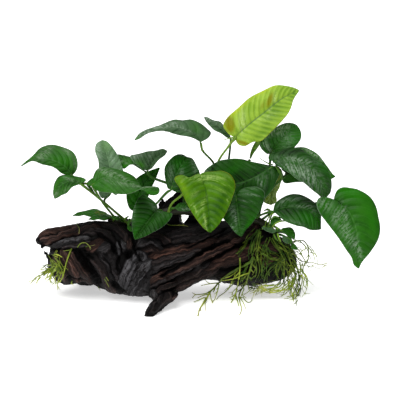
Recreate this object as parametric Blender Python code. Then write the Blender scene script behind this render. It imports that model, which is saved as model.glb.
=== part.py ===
"""Anubias grown onto a piece of dark driftwood, at its real size: metres, +Z up, resting on the plane z = 0.

The shapes are taken from a front drawing at real size, SHEET_SIDE square, which the eye sees square on.
A drawn point is (right, down, away) in millimetres: right of the sheet's left edge, down from its top edge,
and away from the viewer, behind the middle of the log. Points off the sheet's own depth lie on the line of
sight through their place on the sheet, so that the drawing and the solid agree.
"""

import math
from dataclasses import dataclass

import bmesh
import bpy
import numpy as np
from mathutils import Vector

MM = 0.001

# The front drawing
SHEET_SIDE = 401.0
EYE_DISTANCE = 1600.0
EYE_ELEVATION = math.radians(14.0)
SHEET_MIDDLE_HEIGHT = 99.3
# The middle of the finished object's box, measured on the drawing's axes
BOX_MIDDLE_X = -0.2
BOX_MIDDLE_Y = -7.2

# Gaps between neighbours that touch, and the thickness of the leaves
GAP = 0.4
BLADE_THICKNESS = 1.0
RIM_THICKNESS = 0.6
END_THICKNESS = 0.4
END_WIDTH = 0.7
BLADE_ARCH = 0.07
NOTCH_LENGTH = 7.0
STALK_RADIUS = 1.25
STALK_FOOT_RADIUS = 1.9
RHIZOME_RADIUS = 4.2

# Mesh fineness
BLADE_ROWS = 6
BLADE_COLUMNS = 2
SMALL_BLADE_ROWS = 5
NARROW_BLADE_COLUMNS = 1
STALK_SIDES = 5
STALK_SEGMENTS = 4

# The log's limbs, drawn as (right, down, away, half height, half depth), from one end to the other
TRUNK = (
    (112, 257.8, 3, 34.7, 31),
    (126, 259.3, 2, 35, 32),
    (142, 260.5, 0, 37, 33),
    (158, 260, -1, 36.2, 33),
    (176, 256.5, -1, 35, 32),
    (195, 251.3, 0, 31, 30),
    (215, 250.5, 2, 30.5, 29),
    (236, 253.2, 3, 33, 29),
    (254, 254.2, 4, 32, 27),
    (270, 259, 5, 26, 24),
    (284, 263, 6, 19, 18),
    (293, 266, 7, 8, 8),
)
LEFT_FORK = 124
LEFT_LIMB = (
    (50, 264.5, -1, 8, 8),
    (53, 264, 0, 14.5, 15),
    (61, 263, 1, 21.5, 21),
    (78, 256.5, 1, 26, 26),
    (98, 254.5, 2, 32, 29),
    (116, 258, 2, 36, 31),
    (132, 260, 2, 35.5, 32),
)
LEFT_SHELF = (
    (36.5, 241.5, 3, 2.3, 4),
    (41.5, 240, 4, 4.8, 9),
    (50, 239, 5, 8, 16),
    (68, 238, 6, 10.6, 21),
    (88, 238, 7, 14, 24),
    (110, 241, 8, 18, 25),
)
LEFT_TWIG = ((40.5, 243, -4, 2.2, 2.2), (44, 251, -7, 1.6, 1.6), (52, 260, -9, 2.5, 2.5))
FRONT_STUB = (
    (157, 270, -12, 26, 18),
    (161, 285, -27, 18.4, 14),
    (163.5, 295, -40, 11.5, 10),
    (159.5, 303, -50, 6, 7),
    (154, 309, -59, 4.4, 6),
    (149.5, 314, -66, 4.8, 5),
    (149, 317.5, -70, 4.4, 5),
)
STUB_SPUR = ((166, 291, -34, 8, 7), (172.5, 295.3, -42, 4.2, 3.6), (177.5, 293.8, -45, 1.3, 1.2))
BACK_BRANCH = (
    (166.6, 231.7, 8, 16.7, 12),
    (168.8, 216, 9, 12.6, 8.7),
    (173.6, 205.3, 10, 8.7, 7),
    (179, 197, 10, 5.6, 5),
    (182, 191.5, 11, 3, 3),
)
BRANCH_SPUR = ((161, 214, 8, 4, 4), (161.5, 205, 8, 2.5, 2.5), (162.8, 199, 8, 1, 1))
LEFT_FOOT = ((86, 262, 22, 18, 18), (88, 276, 40, 13, 13), (88, 284, 51, 9, 9))
RIGHT_FOOT = ((248, 262, 22, 18, 18), (252, 275, 40, 13, 13), (252, 284, 49, 9, 9))

# Ridges of the twisted grain, drawn as (right, down) where they are seen on the wood, and their half width
TRUNK_RIDGES = (
    (((139, 291), (160, 279), (186, 262), (214, 245), (240, 230), (256, 222)), 5.5),
    (((160, 292), (185, 278), (212, 264), (240, 250), (264, 240)), 5),
    (((128, 246), (146, 238), (170, 232), (198, 229), (222, 226)), 5),
    (((133, 264), (135, 278), (146, 291)), 9),
)
LEFT_RIDGES = (
    (((47, 233), (70, 230), (94, 226), (116, 228)), 4),
    (((52, 262), (64, 268), (84, 272), (100, 280)), 6),
    (((84, 249), (96, 262), (104, 276), (112, 290)), 5),
)

# Creeping stems, as drawn points
RHIZOMES = {
    "rhizome_left": ((108, 220, 8), (122, 222, 6), (137, 225, 4)),
    "rhizome_middle": ((147, 219, -6), (160, 214, -7), (175, 210.5, -6), (192, 211.5, -4), (212, 216, -2)),
    "rhizome_right": ((240, 218, 2), (254, 219, 1), (266, 226, -1), (275, 234, -4)),
}


@dataclass
class Leaf:
    """A blade drawn by its midrib and both edges, base to tip, and the stalk under it, foot to base."""

    rhizome: str
    midrib: tuple
    one_edge: tuple
    other_edge: tuple
    stalk: tuple
    small: bool = False
    narrow: bool = False


LEAVES = {
    "leaf_far_left": Leaf(
        "rhizome_left",
        ((72.5, 175.3, 4), (65, 166.5, 4), (53, 160.5, 3), (38, 158.5, 0), (27, 161.8, -3), (21, 166, -5)),
        ((76, 171, 6), (77.7, 164.5, 12), (74, 154, 20), (64.2, 147.2, 26), (52, 144.2, 28),
         (42.4, 147.6, 24),
         (33, 155.6, 10)),
        ((64.8, 174.3, -2), (54.4, 168.5, -8), (44, 164.2, -10), (33, 161.4, -8)),
        ((127, 222.5, 6), (117, 213.3, 5), (104, 202.2, 3), (90, 190.8, 3), (82, 184.8, 3), (76, 179.5, 4)),
    ),
    "leaf_left_low": Leaf(
        "rhizome_left",
        ((80.5, 184, -14), (70, 181, -12), (60, 186, -16), (54.8, 198.7, -22)),
        ((86, 180.7, -10), (80, 177, -5), (69, 174.8, -1), (60, 176.8, 0), (53.8, 184, -6), (53, 192, -14)),
        ((77, 185, -17), (70, 189.3, -22), (64.8, 194.2, -26), (59, 197, -26)),
        ((128, 223.2, 1), (117, 213.6, 0), (104, 202.6, -5), (92, 192.7, -10), (83, 185.6, -14)),
    ),
    "leaf_left_edge": Leaf(
        "rhizome_left",
        ((86.5, 183.5, -9), (93, 181, -8), (99, 180.3, -7), (104, 181, -6)),
        ((89, 180.2, -5), (95, 177.7, -4), (101, 177.5, -4)),
        ((89, 185.8, -12), (95, 185.8, -11), (101, 184.5, -9)),
        ((127, 222, 9), (117, 213.2, 10), (104, 202.4, 8), (95, 194.6, 1), (89.4, 186.8, -7)),
        small=True,
    ),
    "leaf_left_upright": Leaf(
        "rhizome_left",
        ((111, 191.5, 2), (111, 176, 3), (108, 159, 7), (104, 146.5, 12), (102, 140.3, 17)),
        ((106.5, 196, 1), (102.5, 198.4, 0), (98.8, 193.5, 0), (98, 180, 1), (98.5, 163, 3), (95, 151, 7),
         (96.5, 143.5, 12)),
        ((116, 195, 0), (122, 189, 0), (124.5, 176, 2), (120.5, 162, 3.5), (113.6, 148.5, 8),
         (106.8, 141.5, 15)),
        ((118, 222, 9), (111.5, 213.5, 9), (106, 206.3, 9), (104.5, 200, 8), (109, 195, 4)),
    ),
    "leaf_left_broad": Leaf(
        "rhizome_left",
        ((92, 184.8, -25), (102, 178, -22), (113, 177, -21), (126, 182, -23), (137, 187, -25),
         (148, 190, -26), (159.6, 190.8, -27)),
        ((92.6, 179, -21), (97.4, 169.6, -12), (105, 167, -8), (115.5, 168.3, -5), (125.7, 172.4, -6),
         (135.9, 179.1, -10), (142, 187, -18), (149, 194.3, -23), (155, 195.4, -25), (158.6, 193.6, -26)),
        ((93.6, 188, -28), (99, 191.4, -31), (108, 193, -36), (118, 194, -39), (129, 193, -40),
         (138, 190.7, -38), (146, 187.5, -34),
         (154, 186.2, -30), (158.8, 187.6, -28)),
        ((116, 221, 7), (111.5, 213.8, 2), (106, 207, -4), (101, 200, -11), (97, 193.6, -18),
         (94, 188.4, -22.5)),
    ),
    "leaf_left_arched": Leaf(
        "rhizome_middle",
        ((144.8, 171, 9), (134, 163.8, 9), (124.4, 158.8, 12), (117, 157, 16), (111, 159, 19)),
        ((141, 165.8, 14), (134.6, 160.4, 19), (130, 157.4, 22), (124, 154.6, 24), (116, 155.2, 24)),
        ((140, 169.5, 5), (134, 167.5, 3), (128, 167.5, 3), (122.5, 166.5, 7), (117, 163.5, 12),
         (113, 161, 16)),
        ((180, 213, -4), (184, 199, 3), (175, 186.5, 7), (162, 181, 11), (150, 176.5, 12), (146.5, 173, 10)),
    ),
    "leaf_left_fan": Leaf(
        "rhizome_middle",
        ((147.4, 170.6, 3), (151, 164.5, 6), (158.5, 156.5, 12), (167, 150.8, 18)),
        ((143.4, 169.4, -1), (138.6, 165.8, -4), (133, 162, -3), (129.8, 157, 0), (135, 154, 8),
         (144.8, 152.3, 16),
         (154, 151.3, 21), (162.5, 148.6, 22)),
        ((151, 169, 3), (157, 162, 7), (161, 158, 10), (165.3, 155, 14)),
        ((183, 213, -7), (186, 200, -1), (178, 187.5, 1), (166, 183, 3), (156, 179.5, 2), (150.8, 177, 2),
         (148, 173, 3)),
    ),
    "leaf_left_shaded": Leaf(
        "rhizome_left",
        ((136.5, 212, 8), (138, 198, 10), (147, 181, 15), (159.5, 167.8, 20)),
        ((129.8, 209, 6), (126.4, 199, 6), (128, 189, 8), (136, 178.5, 12), (147, 171.8, 18)),
        ((142, 207, 10), (148, 197, 12), (152.5, 186, 15), (156.5, 177, 18)),
        ((135, 224, 4), (136.5, 219, 6), (136.8, 214, 8)),
    ),
    "leaf_over_wood": Leaf(
        "rhizome_left",
        ((107.5, 214.5, 22), (98, 212, 24), (86, 212.5, 28), (72.8, 215.6, 32)),
        ((105, 211.8, 32), (97, 209.8, 38), (87.7, 210.1, 40), (79, 212.3, 38)),
        ((105, 216.5, 17), (98, 216.4, 14), (88, 216.1, 16), (79.5, 215.9, 24)),
        ((116, 221.5, 9), (112.5, 219, 17), (109.5, 216, 21)),
        narrow=True,
    ),
    "leaf_over_wood_low": Leaf(
        "rhizome_left",
        ((109.5, 217.2, 3), (103, 216.8, 3), (95, 217.3, 4), (88.5, 219.3, 7)),
        ((108, 215.7, 9), (101, 215, 11), (93.5, 216, 11)),
        ((107.5, 219.6, -2), (101, 219.9, -4), (93.5, 219.9, -1)),
        ((116, 221, 8), (113.5, 219, 6)),
        small=True,
    ),
    "leaf_crown_left": Leaf(
        "rhizome_left",
        ((119.5, 218.6, -5), (117, 217.5, -6), (112, 217.4, -7)),
        ((119, 216.6, -3), (115, 215.8, -4)),
        ((118.5, 220, -7), (115, 219.6, -8)),
        ((124, 222, 6), (122, 220, -1)),
        small=True,
    ),
    "leaf_crown_left_tip": Leaf(
        "rhizome_left",
        ((128.5, 226, -14), (130, 228, -18), (132, 231, -23)),
        ((130.5, 225.8, -14), (132.6, 228.5, -19)),
        ((127.2, 227.5, -17), (129, 230.5, -21)),
        ((130, 223, 4), (129.5, 219.5, -6), (128.8, 223.5, -12)),
        small=True,
    ),
    "leaf_middle_round": Leaf(
        "rhizome_middle",
        ((171, 189.7, -7), (174.5, 178, -4), (181, 166, 3), (187.5, 157, 14)),
        ((168, 188.5, -6), (165.2, 179, -4), (164.6, 168.5, 1), (168.8, 160.3, 7), (176, 155.4, 14),
         (183, 154.7, 17)),
        ((177, 192.3, -8), (188, 191, -7), (196.5, 184, -4), (199.8, 174, 0), (196.5, 165.3, 5),
         (192.3, 158.7, 11)),
        ((149, 218, -6), (151, 209, -6), (157, 203, -7), (168, 191.5, -7)),
    ),
    "leaf_middle_shaded": Leaf(
        "rhizome_middle",
        ((174, 208, -16), (183, 206.5, -17), (196, 206, -15)),
        ((179, 203.5, -14), (189, 202.5, -12)),
        ((179, 210.8, -20), (189, 211, -18)),
        ((170, 211.5, -8), (171.5, 208.5, -13)),
        small=True,
    ),
    "leaf_front_left": Leaf(
        "rhizome_middle",
        ((158.2, 210.2, -16), (153.8, 213.6, -20), (149, 220, -25), (142, 229.3, -33), (134.6, 239.3, -41)),
        ((156.6, 205, -14), (150.6, 198.9, -15), (143.2, 194.5, -19), (137, 200, -25), (133.2, 209, -31),
         (132.2, 220, -36), (132.5, 231, -40)),
        ((161.5, 211.2, -16), (167, 212.2, -18), (172.5, 214.6, -22), (169.5, 220, -26), (161.5, 227.3, -31),
         (152, 233.2, -36), (142, 237.3, -40)),
        ((163, 213, -8), (160.5, 210.5, -13)),
    ),
    "leaf_front_light": Leaf(
        "rhizome_middle",
        ((200.7, 178.4, -20), (204.7, 186.5, -23), (207.2, 200, -28), (209, 217, -36), (210.1, 232.4, -44)),
        ((199.4, 174.4, -17.5), (196, 174.6, -18), (191, 177, -19), (186.6, 177, -20), (182.6, 174.7, -21),
         (174.4, 178.3, -25), (180.2, 188.9, -27),
         (187.2, 203.7, -32), (195.6, 218.4, -38), (203.8, 228.4, -43)),
        ((201.2, 173.6, -16), (206, 172.3, -15), (214, 171.8, -16), (221.5, 170.8, -17), (230.7, 174.9, -20),
         (235.3, 184.7, -24), (231.4, 200.2, -29), (224.4, 215.6, -36), (217, 226.7, -42)),
        ((168, 213, -9), (172, 203.5, -14), (182, 195, -16), (192, 184.5, -18), (198.5, 179.8, -20)),
    ),
    "leaf_front_dark": Leaf(
        "rhizome_right",
        ((236, 195.8, -13), (237, 206, -17), (238.7, 221, -25), (241.2, 236.5, -38)),
        ((235.2, 192, -11), (230, 190.5, -10), (224.5, 195, -12), (221, 206, -16), (223.3, 218.4, -21),
         (229, 225, -27), (236, 233.2, -35)),
        ((240.5, 190, -11), (248, 187.2, -10), (257, 187, -10), (264.3, 192, -11), (263.8, 200.5, -14),
         (258.5, 213.5, -19), (251, 224.7, -26), (245, 231.2, -33)),
        ((246, 217.5, 1), (242, 208, -6), (237.5, 198.8, -12)),
    ),
    "leaf_back_broad": Leaf(
        "rhizome_right",
        ((273, 165.8, 3), (264.5, 171.5, 2), (252, 178.5, 0), (237, 183.5, 0), (219, 183, 0),
         (203.3, 176, 2)),
        ((268.5, 165.2, 5), (259.3, 163.4, 7), (250.9, 161.3, 8), (243.9, 159.3, 9), (235.4, 158.6, 9),
         (227, 159.3, 8), (219.4, 160.7, 7), (211, 165.3, 5), (204.8, 170.6, 3)),
        ((277.5, 166.8, 4), (279.6, 172, 3), (276.8, 180.5, 2), (270.5, 191.6, 0), (261, 201, -2),
         (248, 206, -3),
         (234, 205, -4), (220, 198, -3), (209, 187, -1)),
        ((252, 218, 3), (257, 204, 9), (266, 187, 10), (273, 171.5, 8), (273.6, 168, 5)),
    ),
    "leaf_back_upper": Leaf(
        "rhizome_right",
        ((270.3, 153.4, 17), (278.5, 141.5, 20), (288, 131, 23), (297.5, 125.7, 23)),
        ((266.6, 153.8, 14), (260, 145.6, 14), (261.6, 137, 18), (271, 130, 25), (279.9, 124.8, 30),
         (286.2, 123.3, 31), (292.5, 123.3, 28)),
        ((276, 155.5, 15), (286, 153, 15), (294.5, 147.4, 16), (300.2, 140.3, 18), (301.3, 134.6, 20),
         (300, 129.5, 22)),
        ((249, 218, 5), (256, 204, 16), (265, 187, 20), (269.5, 168, 20), (270.2, 156.5, 18)),
    ),
    "leaf_top_yellow": Leaf(
        "rhizome_middle",
        ((234.6, 137.5, 6), (250, 123.7, 12), (266, 111.3, 18), (282, 98.6, 22), (298.9, 90.4, 20)),
        ((228.5, 133.7, 7), (223.3, 125.8, 9), (226.3, 119, 14), (237.5, 108.7, 22), (250, 97, 29),
         (264, 90.5, 32), (275.5, 85.7, 33), (286, 85.8, 31), (293, 87.2, 27)),
        ((238, 144.2, 3), (244.5, 146.2, 1), (253, 141.8, 2), (261, 141, 3), (270.5, 133, 6),
         (281.2, 121.6, 9),
         (290, 110.2, 12), (294.4, 98.5, 16)),
        ((198, 212, -3), (205, 196, 10), (212.5, 176, 13), (219.5, 159, 10), (227.5, 147.8, 7),
         (233.2, 139.9, 6)),
    ),
    "leaf_top_narrow": Leaf(
        "rhizome_middle",
        ((231, 138.2, 16), (222, 128.8, 18), (212, 121.3, 22), (204.3, 117.2, 25)),
        ((229, 133.6, 22), (222.6, 124, 29), (214.2, 120.6, 30), (208, 117.4, 28)),
        ((227.5, 137.6, 12), (221.2, 134, 12), (212.1, 128.2, 16), (207, 123, 21)),
        ((206, 214, -2), (216, 198, 12), (225.5, 178, 20), (228.8, 159, 19), (230.4, 145, 17),
         (230.9, 140, 16)),
        narrow=True,
    ),
    "leaf_top_left": Leaf(
        "rhizome_middle",
        ((200.9, 142, 8), (190, 131.5, 8), (172, 126.8, 5), (154, 129.2, 0), (142, 134.3, -5),
         (134.7, 140.1, -9)),
        ((207.9, 138.2, 14), (211, 132.8, 20), (207.2, 128, 26), (200, 122.5, 30), (191, 119.9, 31),
         (183.3, 121.3, 28), (174, 120.1, 25), (163, 124.4, 18), (151.8, 127.8, 9), (139.5, 133.8, -1)),
        ((197.4, 140.4, 2), (187, 136.6, -5), (174, 133.2, -9), (160.9, 131.7, -9), (148.2, 132.8, -9),
         (139.2, 138.8, -10)),
        ((190, 212, -3), (200, 200, 10), (211, 180, 16), (214, 164.5, 13), (205.4, 154, 9),
         (202.3, 150.6, 8.4),
         (201.6, 148, 8), (201, 144.5, 8)),
    ),
    "leaf_right_arched": Leaf(
        "rhizome_right",
        ((273.5, 161.5, -2), (285, 157, -2), (300, 160, -4), (314, 170.5, -7), (322, 184, -9),
         (325.5, 198.3, -9)),
        ((268.8, 159.5, 1), (269, 155, 4), (275.5, 151.8, 8), (284.5, 148.9, 11), (294.4, 148.2, 12),
         (304, 150.9, 12), (313.4, 156.5, 10), (321.3, 163.3, 7), (327.9, 171.6, 4), (331.3, 182, 0),
         (330.8, 192, -4)),
        ((275.8, 165, -4), (282, 168.6, -9), (290, 173.2, -14), (297, 179.7, -19), (304, 183.3, -21),
         (311, 188.4, -21), (317.5, 194, -18), (321, 197.6, -14)),
        ((256, 219, 1), (259, 206, 13), (267.5, 189, 16), (274.5, 172, 13), (276.5, 162.5, 5),
         (274.6, 161.8, 0)),
    ),
    "leaf_right_behind": Leaf(
        "rhizome_right",
        ((289, 173.5, 15), (302, 164.5, 17), (320, 165, 16), (335.4, 176.6, 12)),
        ((283, 168, 18), (283.5, 157, 22), (291, 148.8, 26), (303, 146.9, 28), (312, 151, 26),
         (319.5, 156.6, 24),
         (326.5, 164.8, 20), (331.5, 173, 15)),
        ((284, 178.5, 16), (285.5, 182.6, 15), (293, 182.8, 12), (303, 182, 9), (315, 181.5, 8),
         (327, 181, 8)),
        ((258, 219.5, 1), (262.5, 202, 4), (272, 188.5, 4), (281, 179.5, 5), (286.5, 175, 9.5),
         (288.3, 173.9, 13.4)),
    ),
    "leaf_right_hanging": Leaf(
        "rhizome_right",
        ((280, 171.5, 17), (275.5, 182, 19), (271.5, 194, 19), (273.5, 204, 16)),
        ((274.5, 171, 18), (269, 180, 20), (265.3, 193, 20), (268, 201.5, 18)),
        ((283.4, 175, 15), (280.6, 183, 13), (277, 193, 12), (276, 201.5, 13)),
        ((253, 218, 3), (261, 203, 22), (272.5, 188, 26), (279.5, 174, 20)),
        narrow=True,
    ),
    "leaf_right_low": Leaf(
        "rhizome_right",
        ((273.3, 211.2, -9), (285, 207.5, -7), (300, 207.5, -7), (313, 213.5, -10), (320.6, 229.4, -17)),
        ((274, 206.5, -5), (276.5, 201.5, 1), (284.6, 196.6, 6), (295.8, 194.5, 9), (306.3, 196.5, 8),
         (314.7, 202.1, 5), (319.6, 210, 0), (320.9, 220, -8)),
        ((277, 214.8, -13), (283, 219.5, -18), (290, 223.4, -22), (297, 226.4, -24), (304, 227, -25),
         (310.5, 229.7, -24), (316, 230.4, -21)),
        ((255, 218.5, -1), (262, 214.5, -6), (271.5, 211.6, -9)),
    ),
    "leaf_far_right": Leaf(
        "rhizome_right",
        ((333.9, 199.8, -7), (343, 206.4, -9), (350, 214, -13), (355, 226, -19), (358, 246, -27),
         (358.4, 268.4, -31)),
        ((330, 198.3, -9), (324, 196.7, -13), (318, 198.7, -17), (316.1, 204, -21), (319, 212, -23),
         (325.8, 221, -25), (337.2, 236.8, -28), (345.8, 249.3, -30), (351.8, 258, -31), (353.6, 264.5, -32)),
        ((334.6, 195.5, -5), (337.5, 189.8, -2), (343, 187.1, 0), (350.5, 187.7, 1), (358, 189.4, 1),
         (369.6, 196.9, -1), (375.8, 206.4, -4), (379, 218.5, -9), (380.5, 227, -13), (378.7, 237.9, -18),
         (369.6, 252.8, -25), (361.7, 262.7, -30)),
        ((260, 221, 1), (272, 213, 3), (287, 209.5, 9), (302, 206, 14), (319, 202.5, 10), (331.5, 200.3, -4)),
    ),
    "leaf_small_right": Leaf(
        "rhizome_right",
        ((280.6, 229.9, -17), (286, 231, -16), (291.5, 234.3, -16), (294.3, 239.8, -16)),
        ((283.4, 227.9, -12), (288.5, 227.2, -10), (292.8, 229.3, -10), (295.3, 233, -12)),
        ((283.5, 232.9, -19), (287.5, 235.5, -20), (291.3, 238, -18)),
        ((270, 229, -3), (273, 226, -9), (278, 228.8, -15)),
        small=True,
    ),
    "leaf_small_middle": Leaf(
        "rhizome_right",
        ((277.5, 230.8, -23), (270.5, 229.8, -24), (262, 227.2, -25)),
        ((274, 228.7, -20), (267, 227.7, -22)),
        ((273.5, 233, -26), (267, 231.4, -27)),
        ((273, 232, -3), (278.5, 229, -12), (279, 230.3, -20)),
        small=True,
    ),
    "leaf_small_grey": Leaf(
        "rhizome_right",
        ((290, 242.6, -29), (286.5, 240.3, -30), (282.7, 235.6, -30)),
        ((289.3, 240, -27), (285.5, 236.7, -28)),
        ((287, 243.6, -32), (283, 240.6, -32)),
        ((274.5, 233.5, -4), (284, 236, -16), (291, 241, -26)),
        small=True,
    ),
    "leaf_small_low": Leaf(
        "rhizome_right",
        ((291.5, 244.3, -25), (294, 246.6, -25), (297.6, 249, -24)),
        ((293.6, 243.2, -23), (296.3, 246.2, -23)),
        ((290.6, 247.4, -28), (294, 249.7, -27)),
        ((273, 231, -3), (286, 233.5, -10), (291.5, 242, -22)),
        small=True,
    ),
    "leaf_small_upright": Leaf(
        "rhizome_right",
        ((270.3, 226.5, -13), (274, 221.5, -13), (281, 218.8, -11)),
        ((270.5, 221, -11), (274.5, 216.7, -10), (279, 216.8, -10)),
        ((273.3, 225, -15), (278, 221.9, -14)),
        ((266, 226.5, -2), (268.5, 226.5, -8), (269.7, 227.6, -12)),
        small=True,
    ),
}

# A young leaf still rolled up: (right, down, away, radius) along its spindle, and the stalk that carries it
ROLLED_LEAF = (
    (250.2, 158.5, 16, 0.9),
    (252, 153, 16, 1.7),
    (254.8, 147.5, 15, 2.5),
    (257.6, 142.5, 14, 2.2),
    (260, 138.5, 13, 0.6),
)
ROLLED_STALK = ((209, 215.5, -2), (224, 199, 12), (240, 178, 19), (249.8, 159.7, 16))

# Locks of moss and hair root: points along each lock, then its radius at the root and at the tip
MOSS_RIGHT = (
    (((260, 246, -6), (274, 257, -9), (284, 266, -11)), 20, 16),
    (((272, 244, -8), (290, 244, -8), (300, 240.5, -4), (307, 246, -2)), 6, 1.5),
    (((282, 254, -10), (300, 250.5, -10), (315, 252, -8)), 8, 1.5),
    (((284, 262, -12), (306, 263, -8), (329, 263.4, -4)), 7, 1),
    (((284, 264, -14), (300, 274, -16), (309, 286, -20)), 10, 1.6),
    (((280, 268, -18), (291, 284, -26), (296, 299, -32)), 10, 1.5),
    (((270, 268, -18), (278, 282, -26), (284, 294, -30)), 9, 1.5),
    (((262, 262, -20), (262, 280, -28), (256, 290, -34)), 7, 1.5),
)
ROOTS_FRONT_LEFT = (
    (((244, 262, -26), (232, 274, -38), (219, 282, -48), (209, 293, -57)), 3.2, 2),
    (((219, 282, -48), (206, 291, -55), (192, 298, -60)), 1.8, 0.9),
    (((209, 293, -57), (203, 302, -62), (198, 314.5, -66)), 2, 0.9),
    (((209, 293, -57), (208, 303, -61), (205, 310, -64)), 1.6, 0.9),
    (((219, 282, -48), (216, 293, -54), (213, 303, -60)), 1.6, 0.9),
    (((219, 282, -48), (207, 284, -52), (199, 285, -54)), 1.5, 0.9),
)
ROOTS_FRONT_RIGHT = (
    (((252, 258, -24), (246, 272, -36), (240, 284, -47), (237, 296, -55)), 3.4, 2.2),
    (((237, 296, -55), (233, 300, -58), (229, 304, -60)), 2, 1),
    (((237, 296, -55), (240, 304, -61), (239, 314.5, -66)), 2, 0.9),
    (((237, 296, -55), (242, 302, -58), (245, 309, -62)), 1.6, 0.9),
    (((238, 291, -52), (243, 299, -55), (248, 302, -56), (252, 299, -54)), 1.4, 1),
    (((240, 284, -47), (232, 290, -50), (226, 294, -52)), 1.6, 0.9),
)
MOSS_LEFT = (
    (((57.6, 264, -12), (51.6, 273, -19), (43.6, 280, -22)), 7.6, 4),
    (((48, 273, -19), (38, 278.5, -20), (28.5, 284.5, -22)), 3.2, 1),
    (((46, 277, -20), (40, 282, -23), (35.5, 286, -25)), 3, 1),
    (((51, 275, -20), (55, 283, -25), (57, 290, -29)), 3.2, 1),
    (((54, 268, -18), (62, 266, -27), (67, 259, -31), (71, 250, -32)), 3, 1.1),
)


def placed(point):
    """The drawn point (right, down, away), in metres."""
    right, down, away = (float(v) for v in point[:3])
    across = right - SHEET_SIDE / 2
    up = SHEET_SIDE / 2 - down
    rise, run = math.sin(EYE_ELEVATION), math.cos(EYE_ELEVATION)
    behind = (away - up * rise) / (run + up * rise / EYE_DISTANCE)
    spread = 1 + behind / EYE_DISTANCE
    x = spread * across - BOX_MIDDLE_X
    y = away - BOX_MIDDLE_Y
    z = SHEET_MIDDLE_HEIGHT - behind * rise + spread * up * run
    return np.array((x, y, z)) * MM


def arc_between(a, b, c, d, steps):
    """Points from b towards c on the centripetal Catmull-Rom curve through a, b, c and d."""
    spans = [max(np.linalg.norm((q - p)[:3]), 1e-9) ** 0.5 for p, q in ((a, b), (b, c), (c, d))]
    knots = np.cumsum([0.0] + spans)
    t = np.linspace(knots[1], knots[2], steps, endpoint=False)[:, None]

    def mixed(p, q, start, end):
        return ((end - t) * p + (t - start) * q) / (end - start)

    ab = mixed(a, b, knots[0], knots[1])
    bc = mixed(b, c, knots[1], knots[2])
    cd = mixed(c, d, knots[2], knots[3])
    abc, bcd = mixed(ab, bc, knots[0], knots[2]), mixed(bc, cd, knots[1], knots[3])
    return mixed(abc, bcd, knots[1], knots[2])


def smooth(points, shares):
    """Points on a smooth curve through `points`, at shares of its length. Extra columns follow along."""
    points = np.asarray(points, float)
    ends = np.vstack([2 * points[0] - points[1], points, 2 * points[-1] - points[-2]])
    curve = [arc_between(*ends[i : i + 4], 12) for i in range(len(points) - 1)]
    curve = np.vstack(curve + [points[-1:]])
    reached = np.concatenate([[0], np.cumsum(np.linalg.norm(np.diff(curve[:, :3], axis=0), axis=1))])
    return np.column_stack([np.interp(shares, reached / reached[-1], column) for column in curve.T])


def unit(vector):
    return vector / max(np.linalg.norm(vector), 1e-12)


def carried_frames(path, up):
    """A side and an up direction for each point of a path, turned along it without twisting."""
    tangents = np.gradient(path, axis=0)
    frames = []
    for tangent in tangents:
        forward = unit(tangent)
        side = unit(np.cross(forward, up))
        up = np.cross(side, forward)
        frames.append((side, up))
    return frames


def tube_shape(path, half_heights, half_depths, sides, up=(0, 0, 1), surface=None):
    """Vertices and faces of a closed tube with elliptical sections, roughened by surface(angle, share)."""
    rings = []
    last = len(path) - 1
    for i, (side, upward) in enumerate(carried_frames(path, np.asarray(up, float))):
        for k in range(sides):
            angle = 2 * math.pi * k / sides
            swell = 1 + (surface(angle, i / last) if surface else 0)
            out = math.cos(angle) * half_depths[i] * side + math.sin(angle) * half_heights[i] * upward
            rings.append(path[i] + out * swell)
    faces = []
    for i in range(last):
        for k in range(sides):
            after = (k + 1) % sides
            faces.append((i * sides + k, i * sides + after, (i + 1) * sides + after, (i + 1) * sides + k))
    faces.append(tuple(range(sides))[::-1])
    faces.append(tuple(last * sides + k for k in range(sides)))
    return rings, faces


def weathered(seed, depth):
    """Ridges that run along a limb and turn slowly round it, by the angle and the share of its length."""
    random = np.random.default_rng(seed)
    waves = [
        (k, random.uniform(0, 2 * math.pi), random.uniform(-2.5, 2.5), random.uniform(0.6, 1)) for k in (2, 3, 5, 8)
    ]

    def surface(angle, share):
        total = sum(w / k**0.5 * math.cos(k * angle + phase + turn * share) for k, phase, turn, w in waves)
        return depth * total

    return surface


def face_outwards(mesh):
    work = bmesh.new()
    work.from_mesh(mesh)
    bmesh.ops.recalc_face_normals(work, faces=work.faces)
    if work.calc_volume(signed=True) < 0:
        bmesh.ops.reverse_faces(work, faces=work.faces)
    work.to_mesh(mesh)
    work.free()


def mesh_object(name, shape, material=None):
    """An object from vertices and faces."""
    mesh = bpy.data.meshes.new(name)
    mesh.from_pydata([tuple(v) for v in shape[0]], [], shape[1])
    face_outwards(mesh)
    thing = bpy.data.objects.new(name, mesh)
    bpy.context.scene.collection.objects.link(thing)
    if material:
        mesh.materials.append(material)
    return thing


def combined(thing, others, operation, crossing=True):
    """`thing` united with the others, or cut by them. `crossing` allows for parts that cross themselves."""
    for other in others:
        step = thing.modifiers.new(operation, "BOOLEAN")
        step.operation = operation
        step.solver = "EXACT"
        step.use_self = crossing
        step.object = other
        bpy.context.view_layer.update()
        result = bpy.data.meshes.new_from_object(thing.evaluated_get(bpy.context.evaluated_depsgraph_get()))
        thing.modifiers.remove(step)
        old = thing.data
        thing.data = result
        bpy.data.meshes.remove(old)
    return thing


def discard(things):
    for thing in things:
        bpy.data.objects.remove(thing)


def swollen(thing, by):
    """A copy of an object with its skin moved out, for cutting a neighbour that touches it."""
    copy = bpy.data.objects.new(thing.name + "_room", thing.data.copy())
    bpy.context.scene.collection.objects.link(copy)
    work = bmesh.new()
    work.from_mesh(copy.data)
    work.normal_update()
    moves = [v.normal * by for v in work.verts]
    for vertex, move in zip(work.verts, moves):
        vertex.co += move
    work.to_mesh(copy.data)
    work.free()
    return copy


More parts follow.
